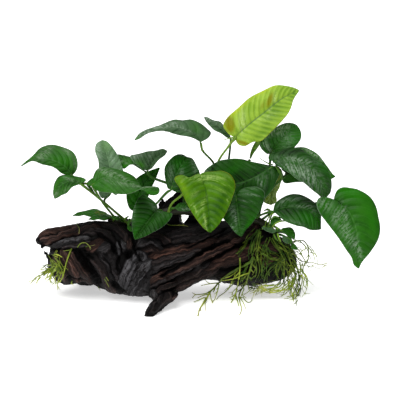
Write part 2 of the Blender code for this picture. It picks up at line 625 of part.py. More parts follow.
def finish(thing, smooth_angle=50):
    """Shades an object smooth across its gentle edges."""
    thing.data.shade_smooth()
    thing.data.set_sharp_from_angle(angle=math.radians(smooth_angle))


def material(name, colour, roughness, metallic=0.0):
    made = bpy.data.materials.new(name)
    made.use_nodes = True
    shader = made.node_tree.nodes["Principled BSDF"]
    shader.inputs["Base Color"].default_value = (*colour, 1)
    shader.inputs["Roughness"].default_value = roughness
    shader.inputs["Metallic"].default_value = metallic
    return made


def limb(name, stations, rings, sides, seed=None, depth=0.05, up=(0, 0, 1)):
    """A limb of wood through drawn stations (right, down, away, half height, half depth)."""
    sized = [(*placed(s), s[3] * MM, s[4] * MM) for s in stations]
    swept = smooth(sized, np.linspace(0, 1, rings))
    surface = weathered(seed, depth) if seed is not None else None
    return mesh_object(name, tube_shape(swept[:, :3], swept[:, 3], swept[:, 4], sides, up, surface))


def cut_flat(thing, point, outward):
    """Cuts off what lies beyond a plane, and closes the cut with a flat face."""
    work = bmesh.new()
    work.from_mesh(thing.data)
    everything = work.verts[:] + work.edges[:] + work.faces[:]
    cut = bmesh.ops.bisect_plane(work, geom=everything, plane_co=point, plane_no=outward, clear_outer=True)
    rim = [e for e in cut["geom_cut"] if isinstance(e, bmesh.types.BMEdge)]
    bmesh.ops.edgeloop_fill(work, edges=rim)
    bmesh.ops.recalc_face_normals(work, faces=work.faces)
    work.to_mesh(thing.data)
    work.free()
    return thing


def rested(thing):
    """The object without what would lie below the plane that it rests on."""
    return cut_flat(thing, (0, 0, 0), (0, 0, -1))


def largest_body(thing):
    """Drops the splinters that a cut has left loose."""
    work = bmesh.new()
    work.from_mesh(thing.data)
    left = set(work.faces)
    bodies = []
    while left:
        front = [left.pop()]
        body = list(front)
        while front:
            near = {f for face in front for edge in face.edges for f in edge.link_faces} & left
            left -= near
            front = list(near)
            body += front
        bodies.append(body)
    bodies.sort(key=lambda body: sum(face.calc_area() for face in body))
    for body in bodies[:-1]:
        bmesh.ops.delete(work, geom=body, context="FACES")
    work.to_mesh(thing.data)
    work.free()
    return thing


def seen_on(thing, right, down):
    """The point of an object that is seen at a place on the sheet."""
    near, far = placed((right, down, -200)), placed((right, down, 200))
    hit, place, _, _ = thing.ray_cast(Vector(near), Vector(far - near))
    return np.array(place) if hit else placed((right, down, 0))


def ridge(wood, line, half_width):
    """A ridge of grain that lies half sunk along a line on the wood."""
    path = smooth([seen_on(wood, *point) for point in line], np.linspace(0, 1, 6))
    radii = half_width * MM * np.array((0.35, 0.85, 1, 1, 0.85, 0.35))
    path[:, 1] += radii * 0.45
    return mesh_object("ridge", tube_shape(path, radii, radii, 5, up=(0.1, 1, 0.2)))


def united(thing, others):
    combined(thing, others, "UNION")
    discard(others)
    return largest_body(thing)


def driftwood(bark):
    """The wood, split at its forks. Each fork is cut back from the piece that carries it."""
    trunk = limb("driftwood_trunk", TRUNK, 17, 14, seed=3, depth=0.04)
    ridges = [ridge(trunk, line, width) for line, width in TRUNK_RIDGES]
    foot = rested(limb("right_foot", RIGHT_FOOT, 5, 8, seed=5, up=(1, 0, 0)))
    united(trunk, ridges + [foot])
    fork = placed((LEFT_FORK, 260, 0))[0]
    cut_flat(trunk, (fork + GAP / 2 * MM, 0, 0), (-1, 0, 0))
    room = swollen(trunk, GAP * MM)

    left = limb("driftwood_left_limb", LEFT_LIMB, 10, 12, seed=8, depth=0.04)
    shelf = limb("left_shelf", LEFT_SHELF, 8, 9, seed=2, depth=0.06)
    ridges = [ridge(left, line, width) for line, width in LEFT_RIDGES[1:]]
    ridges.append(ridge(shelf, *LEFT_RIDGES[0]))
    twig = limb("left_twig", LEFT_TWIG, 4, 5)
    foot = rested(limb("left_foot", LEFT_FOOT, 5, 8, seed=6, up=(1, 0, 0)))
    united(left, [shelf, twig, foot] + ridges)
    cut_flat(left, (fork - GAP / 2 * MM, 0, 0), (1, 0, 0))

    stub = limb("driftwood_front_stub", FRONT_STUB, 8, 9, seed=4, depth=0.08, up=(1, 0, 0))
    united(stub, [limb("stub_spur", STUB_SPUR, 3, 6, up=(1, 0, 0))])
    rested(stub)

    branch = limb("driftwood_back_branch", BACK_BRANCH, 7, 9, seed=7, depth=0.08, up=(1, 0, 0))
    united(branch, [limb("branch_spur", BRANCH_SPUR, 3, 6, up=(1, 0, 0))])

    for piece in (stub, branch):
        combined(piece, [room], "DIFFERENCE")
    discard([room])
    pieces = [trunk, left, stub, branch]
    for piece in pieces:
        piece.data.materials.append(bark)
        finish(piece, 40)
    return pieces


def beside(end, along, towards):
    """A point a little to the side of an end of a midrib, on the side of `towards`."""
    along = unit(along)
    offset = towards - end
    return end + unit(offset - along * np.dot(offset, along)) * END_WIDTH * MM


def blade_sheet(leaf, rows, columns):
    """The points of a blade's middle surface, base to tip, from one edge over the midrib to the other."""
    base, tip = placed(leaf.midrib[0]), placed(leaf.midrib[-1])
    steps = np.linspace(0, 1, rows + 1)
    shares = 0.6 * steps + 0.4 * (0.5 - 0.5 * np.cos(np.pi * steps))
    middle = smooth([placed(p) for p in leaf.midrib], shares)
    sheet = np.zeros((rows + 1, 2 * columns + 1, 3))
    for sign, edge in ((-1, leaf.one_edge), (1, leaf.other_edge)):
        drawn = [placed(p) for p in edge]
        drawn.insert(0, base + unit(drawn[0] - base) * END_WIDTH * MM)
        drawn.append(beside(tip, middle[-1] - middle[-2], drawn[-1]))
        rim = smooth(drawn, shares)
        for c in range(columns + 1):
            share = c / columns
            sheet[:, columns + sign * c] = middle * (1 - share) + rim * share
    normals = sheet_normals(sheet)
    for c in range(1, columns):
        share = c / columns
        lift = BLADE_ARCH * 4 * share * (1 - share)
        for column, edge_column in ((columns - c, 0), (columns + c, 2 * columns)):
            width = np.linalg.norm(sheet[:, edge_column] - sheet[:, columns], axis=1)
            sheet[:, column] += normals[:, column] * (width * lift)[:, None]
    return sheet


def sheet_normals(sheet, evening=3):
    """Unit normals of a grid of points, on its side that faces up, evened out over neighbouring points."""
    normals = np.cross(np.gradient(sheet, axis=0), np.gradient(sheet, axis=1))
    for _ in range(evening):
        padded = np.pad(normals, ((1, 1), (1, 1), (0, 0)), mode="edge")
        normals = sum(padded[r : r + len(sheet), c : c + sheet.shape[1]] for r in range(3) for c in range(3))
    normals /= np.maximum(np.linalg.norm(normals, axis=2, keepdims=True), 1e-12)
    return normals if normals[..., 2].sum() > 0 else -normals


def blade_shape(leaf, rows, columns):
    """A closed blade: the sheet thickened, most at the midrib."""
    sheet = blade_sheet(leaf, rows, columns)
    normals = sheet_normals(sheet)
    half = np.full(sheet.shape[:2], BLADE_THICKNESS / 2)
    half[:, [0, -1]] = RIM_THICKNESS / 2
    half[[0, -1]] = END_THICKNESS / 2
    offset = normals * (half * MM)[..., None]
    count = (rows + 1) * (2 * columns + 1)
    points = np.vstack([(sheet + offset).reshape(-1, 3), (sheet - offset).reshape(-1, 3)])
    wide = 2 * columns + 1
    faces = []
    for r in range(rows):
        for c in range(wide - 1):
            quad = (r * wide + c, r * wide + c + 1, (r + 1) * wide + c + 1, (r + 1) * wide + c)
            faces.append(quad)
            faces.append(tuple(count + v for v in quad[::-1]))
    border = [c for c in range(wide)]
    border += [r * wide + wide - 1 for r in range(1, rows + 1)]
    border += [rows * wide + c for c in range(wide - 2, -1, -1)]
    border += [r * wide for r in range(rows - 1, 0, -1)]
    for here, after in zip(border, border[1:] + border[:1]):
        faces.append((here, count + here, count + after, after))
    return points, faces


def stalk_shape(points, swell=0.0):
    """A thin stalk through drawn points, tapering from its foot."""
    steps = np.linspace(0, 1, STALK_SEGMENTS + 1)
    path = smooth([placed(p) for p in points], steps)
    radii = (STALK_FOOT_RADIUS + (STALK_RADIUS - STALK_FOOT_RADIUS) * steps**0.5 + swell) * MM
    return tube_shape(path, radii, radii, STALK_SIDES, up=(0.3, 1, 0.2))


def leaf_blade(name, leaf, green):
    """A blade, notched at its base where its stalk's tip meets it."""
    rows = SMALL_BLADE_ROWS if leaf.small else BLADE_ROWS
    columns = NARROW_BLADE_COLUMNS if leaf.small or leaf.narrow else BLADE_COLUMNS
    blade = mesh_object(name, blade_shape(leaf, rows, columns), green)
    near_tip, tip = smooth([placed(p) for p in leaf.stalk], (0.9, 1))
    onward = unit(tip - near_tip)
    ends = np.array((tip - onward * NOTCH_LENGTH * MM, tip + onward * GAP * MM))
    radii = np.full(2, STALK_RADIUS + GAP) * MM
    room = mesh_object("stalk_room", tube_shape(ends, radii, radii, 6, up=(0.3, 1, 0.2)))
    combined(blade, [room], "DIFFERENCE", crossing=False)
    discard([room])
    face_outwards(blade.data)
    finish(blade)
    return blade


def rolled_leaf(green):
    drawn = [(*placed(p), p[3] * MM) for p in ROLLED_LEAF]
    swept = smooth(drawn, np.linspace(0, 1, 7))
    shape = tube_shape(swept[:, :3], swept[:, 3], swept[:, 3], 6, up=(0, 1, 0))
    spindle = mesh_object("leaf_rolled", shape, green)
    finish(spindle)
    return spindle


def creeping_stem(name, swell=0.0):
    """A creeping stem united with the stalks that grow from it, every part `swell` thicker than drawn."""
    path = smooth([placed(p) for p in RHIZOMES[name]], np.linspace(0, 1, 7))
    radii = (np.array((0.55, 0.9, 1, 1, 1, 0.9, 0.55)) * RHIZOME_RADIUS + swell) * MM
    stem = mesh_object(name, tube_shape(path, radii, radii, 8))
    stalks = [leaf.stalk for leaf in LEAVES.values() if leaf.rhizome == name]
    if name == "rhizome_middle":
        stalks.append(ROLLED_STALK)
    return united(stem, [mesh_object("stalk", stalk_shape(line, swell)) for line in stalks])


def cut_back(thing, rooms):
    combined(thing, rooms, "DIFFERENCE")
    discard(rooms)
    return largest_body(thing)


def rhizome(name, wood, skin):
    """A creeping stem and its stalks, cut back from the wood that it clings to."""
    stem = creeping_stem(name)
    cut_back(stem, [swollen(piece, GAP * MM) for piece in wood])
    stem.data.materials.append(skin)
    finish(stem)
    return stem


def tuft(name, locks, rooms, strand, sides=5):
    """Locks of moss or hair root grown together, cut back from the pieces that they grow on."""
    parts = []
    for points, root_radius, tip_radius in locks:
        path = smooth([placed(p) for p in points], np.linspace(0, 1, 4))
        radii = np.linspace(root_radius, tip_radius, 4) * MM
        parts.append(mesh_object(name, tube_shape(path, radii, radii, sides, up=(0.2, 1, 0.1))))
    whole = united(parts[0], parts[1:])
    rested(whole)
    cut_back(whole, rooms)
    whole.name = name
    whole.data.materials.append(strand)
    finish(whole)
    return whole


def build():
    for thing in list(bpy.data.objects):
        bpy.data.objects.remove(thing)
    bark = material("dark_driftwood", (0.030, 0.022, 0.018), 0.6)
    stem_green = material("stem_green", (0.06, 0.13, 0.03), 0.45)
    moss_green = material("moss_green", (0.13, 0.22, 0.05), 0.6)
    leaf_green = material("leaf_green", (0.035, 0.13, 0.025), 0.3)
    young_green = material("young_leaf_green", (0.28, 0.45, 0.05), 0.35)

    wood = driftwood(bark)
    trunk, left = wood[0], wood[1]
    for name in RHIZOMES:
        rhizome(name, wood, stem_green)
    for name, leaf in LEAVES.items():
        young = name in ("leaf_top_yellow", "leaf_front_light")
        leaf_blade(name, leaf, young_green if young else leaf_green)
    rolled_leaf(young_green)
    over = [swollen(trunk, GAP * MM), creeping_stem("rhizome_right", GAP)]
    tuft("moss_right", MOSS_RIGHT, over, moss_green)
    tuft("moss_left", MOSS_LEFT, [swollen(left, GAP * MM)], moss_green, sides=4)
    tuft("roots_front_left", ROOTS_FRONT_LEFT, [swollen(trunk, GAP * MM)], moss_green, sides=4)
    tuft("roots_front_right", ROOTS_FRONT_RIGHT, [swollen(trunk, GAP * MM)], moss_green, sides=4)


build()
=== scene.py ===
"""The looks of the anubias on driftwood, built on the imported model, in metres.

The drawing is the one that the solids were made from: SHEET_SIDE square, at real size, with drawn points
(right, down, away) in millimetres. It is also the photograph's frame, one millimetre to a pixel.
"""

import math
from dataclasses import dataclass

import bmesh
import bpy
import numpy as np
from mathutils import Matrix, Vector, noise
from mathutils.bvhtree import BVHTree


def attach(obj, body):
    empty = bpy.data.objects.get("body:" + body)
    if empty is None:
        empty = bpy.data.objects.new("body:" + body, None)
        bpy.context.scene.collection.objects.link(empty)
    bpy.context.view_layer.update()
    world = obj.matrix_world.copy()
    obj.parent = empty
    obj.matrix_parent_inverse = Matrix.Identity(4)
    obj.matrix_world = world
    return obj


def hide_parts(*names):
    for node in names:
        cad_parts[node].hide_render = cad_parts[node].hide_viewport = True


MM = 0.001
TINY = 1e-12

# The front drawing
SHEET_SIDE = 401.0
EYE_DISTANCE = 1600.0
EYE_ELEVATION = math.radians(14.0)
SHEET_MIDDLE_HEIGHT = 99.3
BOX_MIDDLE_X = -0.2
BOX_MIDDLE_Y = -7.2

# Leaves and stalks
BLADE_THICKNESS = 0.7
RIM_THICKNESS = 0.4
END_WIDTH = 0.7
BLADE_ARCH = 0.07
STALK_RADIUS = 1.1
STALK_FOOT_RADIUS = 1.5
STALK_HEAD_RADIUS = 1.25 * STALK_RADIUS
STALK_RUN = 5.0
STALK_RUN_RADII = (0.9, 0.4)
STALK_UP = (0.3, 1, 0.2)
RHIZOME_RADIUS = 4.2

# Relief of a blade: heights, depths and widths in millimetres, the rest in shares or turns
CROWDED_ROWS = 0.4
VEIN_SWEEP = 0.9
VEIN_BEND = 1.15
VEIN_STAGGER = 0.25
RELIEF_WIDTH = 9.0
RELIEF_ENDS = (0.02, 0.98)
RELIEF_END_ROUNDING = 0.4
CUSHION_HEIGHT = 1.2
CUSHION_ROUNDING = 1.2
CUSHION_DROP = 0.7
CUSHION_START = 0.12
CUSHION_FADE = 0.65
MIDRIB_GROOVE = 0.55
GROOVE_WIDTH = 1.3
GROOVED_WIDTH = 6.0
KEEL_HEIGHT = 0.5
KEEL_SPREAD = 0.06
WAVE_HEIGHT = 0.9
WAVES_ALONG = 2.3
WAVE_STAGGER = 0.31
WAVE_OFFSET = 2.0

# Mesh fineness
BLADE_ROWS = 56
BLADE_COLUMNS = 18
SMALL_BLADE_ROWS = 24
SMALL_BLADE_COLUMNS = 8
STALK_SIDES = 12
STALK_SEGMENTS = 28
RHIZOME_SIDES = 16
RHIZOME_STEPS = 25
SHEATH_SIDES = 10
SHEATH_STEPS = 13
ROLLED_SIDES = 20
ROLLED_STEPS = 25
CURVE_STEPS = 16
LINE_STEPS = 9
WOOD_GRAIN_SIZE = 0.95

# The log's limbs, drawn as (right, down, away, half height, half depth), from one end to the other
TRUNK = (
    (112, 257.8, 3, 34.7, 31),
    (126, 259.3, 2, 35, 32),
    (142, 260.5, 0, 37, 33),
    (158, 260, -1, 36.2, 33),
    (176, 256.5, -1, 35, 32),
    (195, 251.3, 0, 31, 30),
    (215, 250.5, 2, 30.5, 29),
    (236, 253.2, 3, 33, 29),
    (254, 254.2, 4, 32, 27),
    (270, 259, 5, 26, 24),
    (284, 263, 6, 19, 18),
    (293, 266, 7, 8, 8),
)
LEFT_LIMB = (
    (50, 264.5, -1, 8, 8),
    (53, 264, 0, 14.5, 15),
    (61, 263, 1, 21.5, 21),
    (78, 256.5, 1, 26, 26),
    (98, 254.5, 2, 32, 29),
    (116, 258, 2, 36, 31),
    (132, 260, 2, 35.5, 32),
)
LEFT_SHELF = (
    (36.5, 241.5, 3, 2.3, 4),
    (41.5, 240, 4, 4.8, 9),
    (50, 239, 5, 8, 16),
    (68, 238, 6, 10.6, 21),
    (88, 238, 7, 14, 24),
    (110, 241, 8, 18, 25),
)
LEFT_TWIG = ((40.5, 243, -4, 2.2, 2.2), (44, 251, -7, 1.6, 1.6), (52, 260, -9, 2.5, 2.5))
FRONT_STUB = (
    (157, 270, -12, 26, 18),
    (161, 285, -27, 18.4, 14),
    (163.5, 295, -40, 11.5, 10),
    (159.5, 303, -50, 6, 7),
    (154, 309, -59, 4.4, 6),
    (149.5, 314, -66, 4.8, 5),
    (149, 317.5, -70, 4.4, 5),
)
STUB_SPUR = ((166, 291, -34, 8, 7), (172.5, 295.3, -42, 4.2, 3.6), (177.5, 293.8, -45, 1.3, 1.2))
BACK_BRANCH = (
    (166.6, 231.7, 8, 16.7, 12),
    (168.8, 216, 9, 12.6, 8.7),
    (173.6, 205.3, 10, 8.7, 7),
    (179, 197, 10, 5.6, 5),
    (182, 191.5, 11, 3, 3),
)
BACK_KNOT = ((191.5, 234, 3, 11.5, 8), (191.5, 224, 4, 8.5, 6), (195, 214.5, 4, 4, 3))
BRANCH_SPUR = ((161, 214, 8, 4, 4), (161.5, 205, 8, 2.5, 2.5), (162.8, 199, 8, 1, 1))
LEFT_FOOT = ((86, 262, 22, 18, 18), (88, 276, 40, 13, 13), (88, 284, 51, 9, 9))
RIGHT_FOOT = ((248, 262, 22, 18, 18), (252, 275, 40, 13, 13), (252, 284, 49, 9, 9))

# Limbs that lie, with rings, sides, the seed of their weathering and how deep it goes, then those that stand
LYING_LIMBS = (
    (TRUNK, 60, 48, 3, 0.04),
    (LEFT_LIMB, 40, 48, 8, 0.04),
    (LEFT_SHELF, 30, 36, 2, 0.06),
    (LEFT_TWIG, 16, 12, 2, 0.0),
)
STANDING_LIMBS = (
    (LEFT_FOOT, 16, 24, 6, 0.08),
    (RIGHT_FOOT, 16, 24, 5, 0.08),
    (FRONT_STUB, 30, 30, 4, 0.08),
    (STUB_SPUR, 10, 16, 4, 0.05),
    (BACK_BRANCH, 24, 30, 7, 0.08),
    (BRANCH_SPUR, 12, 16, 7, 0.05),
    (BACK_KNOT, 12, 20, 5, 0.06),
)


# Creeping stems, as drawn points
RHIZOMES = {
    "rhizome_left": ((108, 220, 8), (122, 222, 6), (137, 225, 4)),
    "rhizome_middle": ((147, 219, -6), (160, 214, -7), (175, 210.5, -6), (192, 211.5, -4), (212, 216, -2)),
    "rhizome_right": ((240, 218, 2), (254, 219, 1), (266, 226, -1), (275, 234, -4)),
}


@dataclass
class Leaf:
    """A blade drawn by its midrib and both edges, base to tip, and the stalk under it, foot to base."""

    rhizome: str
    midrib: tuple
    one_edge: tuple
    other_edge: tuple
    stalk: tuple
    small: bool = False


LEAVES = {
    "leaf_far_left": Leaf(
        "rhizome_left",
        ((72.5, 175.3, 4), (65, 166.5, 4), (53, 160.5, 3), (38, 158.5, 0), (27, 161.8, -3), (21, 166, -5)),
        ((76, 171, 6), (77.7, 164.5, 12), (74, 154, 20), (64.2, 147.2, 26), (52, 144.2, 28),
         (42.4, 147.6, 24), (33, 155.6, 10)),
        ((64.8, 174.3, -2), (54.4, 168.5, -8), (44, 164.2, -10), (33, 161.4, -8)),
        ((127, 222.5, 6), (117, 213.3, 5), (104, 202.2, 3), (90, 190.8, 3), (82, 184.8, 3), (76, 179.5, 4)),
    ),
    "leaf_left_low": Leaf(
        "rhizome_left",
        ((80.5, 184, -14), (70, 181, -12), (60, 186, -16), (54.8, 198.7, -22)),
        ((86, 180.7, -10), (80, 177, -5), (69, 174.8, -1), (60, 176.8, 0), (53.8, 184, -6), (53, 192, -14)),
        ((77, 185, -17), (70, 189.3, -22), (64.8, 194.2, -26), (59, 197, -26)),
        ((128, 223.2, 1), (117, 213.6, 0), (104, 202.6, -5), (92, 192.7, -10), (83, 185.6, -14)),
    ),
    "leaf_left_edge": Leaf(
        "rhizome_left",
        ((86.5, 183.5, -9), (93, 181, -8), (99, 180.3, -7), (104, 181, -6)),
        ((89, 180.2, -5), (95, 177.7, -4), (101, 177.5, -4)),
        ((89, 185.8, -12), (95, 185.8, -11), (101, 184.5, -9)),
        ((127, 222, 9), (117, 213.2, 10), (104, 202.4, 8), (95, 194.6, 1), (89.4, 186.8, -7)),
        small=True,
    ),
    "leaf_left_upright": Leaf(
        "rhizome_left",
        ((111, 191.5, 2), (111, 176, 3), (108, 159, 7), (104, 146.5, 12), (102, 140.3, 17)),
        ((106.5, 196, 1), (102.5, 198.4, 0), (98.8, 193.5, 0), (98, 180, 1), (98.5, 163, 3), (95, 151, 7),
         (96.5, 143.5, 12)),
        ((116, 195, 0), (122, 189, 0), (124.5, 176, 2), (120.5, 162, 3.5), (113.6, 148.5, 8),
         (106.8, 141.5, 15)),
        ((118, 222, 9), (111.5, 213.5, 9), (106, 206.3, 9), (104.5, 200, 8), (109, 195, 4)),
    ),
    "leaf_left_broad": Leaf(
        "rhizome_left",
        ((92, 184.8, -25), (102, 178, -22), (113, 177, -21), (126, 182, -23), (137, 187, -25),
         (148, 190, -26), (159.6, 190.8, -27)),
        ((92.6, 179, -21), (97.4, 169.6, -12), (105, 167, -8), (115.5, 168.3, -5), (125.7, 172.4, -6),
         (135.9, 179.1, -10), (142, 187, -18), (149, 194.3, -23), (155, 195.4, -25), (158.6, 193.6, -26)),
        ((93.6, 188, -28), (99, 191.4, -31), (108, 193, -36), (118, 194, -39), (129, 193, -40),
         (138, 190.7, -38), (146, 187.5, -34), (154, 186.2, -30), (158.8, 187.6, -28)),
        ((116, 221, 7), (111.5, 213.8, 2), (106, 207, -4), (101, 200, -11), (97, 193.6, -18),
         (94, 188.4, -22.5)),
    ),
    "leaf_left_arched": Leaf(
        "rhizome_middle",
        ((144.8, 171, 9), (134, 163.8, 9), (124.4, 158.8, 12), (117, 157, 16), (111, 159, 19)),
        ((141, 165.8, 14), (134.6, 160.4, 19), (130, 157.4, 22), (124, 154.6, 24), (116, 155.2, 24)),
        ((140.5, 167.8, 5), (134.5, 164.6, 3), (129.5, 164.2, 3), (125, 169, 7), (120.5, 166.5, 11),
         (114.5, 162, 15)),
        ((180, 213, -4), (184, 199, 3), (175, 186.5, 7), (162, 181, 11), (150, 176.5, 12), (146.5, 173, 10)),
    ),
    "leaf_left_fan": Leaf(
        "rhizome_middle",
        ((147.4, 170.6, 3), (151, 164.5, 6), (158.5, 156.5, 12), (167, 150.8, 18)),
        ((143.4, 169.4, -1), (138.6, 165.8, -4), (133, 162, -3), (129.8, 157, 0), (135, 154, 8),
         (144.8, 152.3, 16), (154, 151.3, 21), (162.5, 148.6, 22)),
        ((151, 169, 3), (157, 162, 7), (161, 158, 10), (165.3, 155, 14)),
        ((183, 213, -7), (186, 200, -1), (178, 187.5, 1), (166, 183, 3), (156, 179.5, 2), (150.8, 177, 2),
         (148, 173, 3)),
    ),
    "leaf_left_shaded": Leaf(
        "rhizome_left",
        ((136.5, 212, 8), (138, 198, 10), (147, 181, 15), (159.5, 167.8, 20)),
        ((129.8, 209, 6), (126.4, 199, 6), (128, 189, 8), (136, 178.5, 12), (147, 171.8, 18)),
        ((142, 207, 10), (148, 197, 12), (152.5, 186, 15), (156.5, 177, 18)),
        ((135, 224, 4), (136.5, 219, 6), (136.8, 214, 8)),
    ),
    "leaf_over_wood": Leaf(
        "rhizome_left",
        ((107.5, 214.5, 22), (98, 212, 24), (86, 212.5, 28), (72.8, 215.6, 32)),
        ((105, 211.8, 32), (97, 209.8, 38), (87.7, 210.1, 40), (79, 212.3, 38)),
        ((105, 216.5, 17), (98, 216.4, 14), (88, 216.1, 16), (79.5, 215.9, 24)),
        ((116, 221.5, 9), (112.5, 219, 17), (109.5, 216, 21)),
    ),
    "leaf_over_wood_low": Leaf(
        "rhizome_left",
        ((109.5, 217.2, 3), (103, 216.8, 3), (95, 217.3, 4), (88.5, 219.3, 7)),
        ((108, 215.7, 9), (101, 215, 11), (93.5, 216, 11)),
        ((107.5, 219.6, -2), (101, 219.9, -4), (93.5, 219.9, -1)),
        ((116, 221, 8), (113.5, 219, 6)),
        small=True,
    ),
    "leaf_crown_left": Leaf(
        "rhizome_left",
        ((119.5, 218.6, -5), (117, 217.5, -6), (112, 217.4, -7)),
        ((119, 216.6, -3), (115, 215.8, -4)),
        ((118.5, 220, -7), (115, 219.6, -8)),
        ((124, 222, 6), (122, 220, -1)),
        small=True,
    ),
    "leaf_crown_left_tip": Leaf(
        "rhizome_left",
        ((128.5, 226, -14), (130, 228, -18), (132, 231, -23)),
        ((130.5, 225.8, -14), (132.6, 228.5, -19)),
        ((127.2, 227.5, -17), (129, 230.5, -21)),
        ((130, 223, 4), (129.5, 219.5, -6), (128.8, 223.5, -12)),
        small=True,
    ),
    "leaf_middle_round": Leaf(
        "rhizome_middle",
        ((171, 189.7, -7), (174.5, 178, -4), (181, 166, 3), (187.5, 157, 14)),
        ((168, 188.5, -6), (165.2, 179, -4), (164.6, 168.5, 1), (168.8, 160.3, 7), (176, 155.4, 14),
         (183, 154.7, 17)),
        ((177, 192.3, -8), (188, 191, -7), (196.5, 184, -4), (199.8, 174, 0), (196.5, 165.3, 5),
         (192.3, 158.7, 11)),
        ((149, 218, -6), (151, 209, -6), (157, 203, -7), (168, 191.5, -7)),
    ),
    "leaf_middle_shaded": Leaf(
        "rhizome_middle",
        ((174, 208, -16), (183, 206.5, -17), (196, 206, -15)),
        ((179, 203.5, -14), (189, 202.5, -12)),
        ((179, 210.8, -20), (189, 211, -18)),
        ((170, 211.5, -8), (171.5, 208.5, -13)),
        small=True,
    ),
    "leaf_front_left": Leaf(
        "rhizome_middle",
        ((158.2, 210.2, -16), (153.8, 213.6, -20), (149, 220, -25), (142, 229.3, -33), (134.6, 239.3, -41)),
        ((156.6, 205, -14), (150.6, 198.9, -15), (143.2, 194.5, -19), (137, 200, -25), (133.2, 209, -31),
         (132.2, 220, -36), (132.5, 231, -40)),
        ((161.5, 211.2, -16), (167, 212.2, -18), (172.5, 214.6, -22), (169.5, 220, -26), (161.5, 227.3, -31),
         (152, 233.2, -36), (142, 237.3, -40)),
        ((163, 213, -8), (160.5, 210.5, -13)),
    ),
    "leaf_front_light": Leaf(
        "rhizome_middle",
        ((200.7, 178.4, -20), (204.7, 186.5, -23), (207.2, 200, -28), (209, 217, -36), (210.1, 232.4, -44)),
        ((200.4, 174, -17.1), (196, 174.6, -18), (191, 177, -19), (186.6, 177, -20), (182.6, 174.7, -21),
         (174.4, 178.3, -25), (180.2, 188.9, -27), (187.2, 203.7, -32), (195.6, 218.4, -38),
         (203.8, 228.4, -43)),
        ((200.8, 173.8, -16.6), (206, 172.3, -15), (214, 171.8, -16), (221.5, 170.8, -17),
         (230.7, 174.9, -20), (235.3, 184.7, -24), (231.4, 200.2, -29), (224.4, 215.6, -36),
         (217, 226.7, -42)),
        ((168, 213, -9), (172, 203.5, -14), (182, 195, -16), (192, 184.5, -18), (198.5, 179.8, -20)),
    ),
    "leaf_front_dark": Leaf(
        "rhizome_right",
        ((236, 195.8, -13), (237, 206, -17), (238.7, 221, -25), (241.2, 236.5, -38)),
        ((235.2, 192, -11), (230, 190.5, -10), (224.5, 195, -12), (221, 206, -16), (223.3, 218.4, -21),
         (229, 225, -27), (236, 233.2, -35)),
        ((240.5, 190, -11), (248, 187.2, -10), (257, 187, -10), (264.3, 192, -11), (263.8, 200.5, -14),
         (258.5, 213.5, -19), (251, 224.7, -26), (245, 231.2, -33)),
        ((246, 217.5, 1), (242, 208, -6), (237.5, 198.8, -12)),
    ),
    "leaf_back_broad": Leaf(
        "rhizome_right",
        ((273, 165.8, 3), (264.5, 171.5, 2), (252, 178.5, 0), (237, 183.5, 0), (219, 183, 0),
         (203.3, 176, 2)),
        ((268.5, 165.2, 5), (259.3, 163.4, 7), (250.9, 161.3, 8), (243.9, 159.3, 9), (235.4, 158.6, 9),
         (227, 159.3, 8), (219.4, 160.7, 7), (211, 165.3, 5), (204.8, 170.6, 3)),
        ((277.5, 166.8, 4), (279.6, 172, 3), (276.8, 180.5, 2), (270.5, 191.6, 0), (261, 201, -2),
         (248, 206, -3), (234, 205, -4), (220, 198, -3), (209, 187, -1)),
        ((252, 218, 3), (257, 204, 9), (266, 187, 10), (273, 171.5, 8), (273.6, 168, 5)),
    ),
    "leaf_back_upper": Leaf(
        "rhizome_right",
        ((270.3, 153.4, 17), (278.5, 141.5, 20), (288, 131, 23), (297.5, 125.7, 23)),
        ((266.6, 153.8, 14), (260, 145.6, 14), (261.6, 137, 18), (271, 130, 25), (279.9, 124.8, 30),
         (286.2, 123.3, 31), (292.5, 123.3, 28)),
        ((276, 155.5, 15), (286, 153, 15), (294.5, 147.4, 16), (300.2, 140.3, 18), (301.3, 134.6, 20),
         (300, 129.5, 22)),
        ((249, 218, 5), (256, 204, 16), (265, 187, 20), (269.5, 168, 20), (270.2, 156.5, 18)),
    ),
    "leaf_top_yellow": Leaf(
        "rhizome_middle",
        ((234.6, 137.5, 6), (250, 123.7, 12), (266, 111.3, 18), (282, 98.6, 22), (298.9, 90.4, 20)),
        ((228.5, 133.7, 7), (223.3, 125.8, 9), (226.3, 119, 14), (237.5, 108.7, 22), (250, 97, 29),
         (264, 90.5, 32), (275.5, 85.7, 33), (286, 85.8, 31), (293, 87.2, 27)),
        ((238, 144.2, 3), (244.5, 146.2, 1), (253, 141.8, 2), (261, 141, 3), (270.5, 133, 6),
         (281.2, 121.6, 9), (290, 110.2, 12), (294.4, 98.5, 16)),
        ((198, 212, -3), (205, 196, 10), (212.5, 176, 13), (219.5, 159, 10), (227.5, 147.8, 7),
         (233.2, 139.9, 6)),
    ),
    "leaf_top_narrow": Leaf(
        "rhizome_middle",
        ((231, 138.2, 16), (222, 128.8, 18), (212, 121.3, 22), (204.3, 117.2, 25)),
        ((229, 133.6, 22), (222.6, 124, 29), (214.2, 120.6, 30), (208, 117.4, 28)),
        ((227.5, 137.6, 12), (221.2, 134, 12), (212.1, 128.2, 16), (207, 123, 21)),
        ((206, 214, -2), (216, 198, 12), (225.5, 178, 20), (228.8, 159, 19), (230.4, 145, 17),
         (230.9, 140, 16)),
    ),
    "leaf_top_left": Leaf(
        "rhizome_middle",
        ((200.9, 142, 8), (190, 131.5, 8), (172, 126.8, 5), (154, 129.2, 0), (142, 134.3, -5),
         (134.7, 140.1, -9)),
        ((207.9, 138.2, 14), (211, 132.8, 20), (207.2, 128, 26), (200, 122.5, 30), (191, 119.9, 31),
         (183.3, 121.3, 28), (174, 120.1, 25), (163, 124.4, 18), (151.8, 127.8, 9), (139.5, 133.8, -1)),
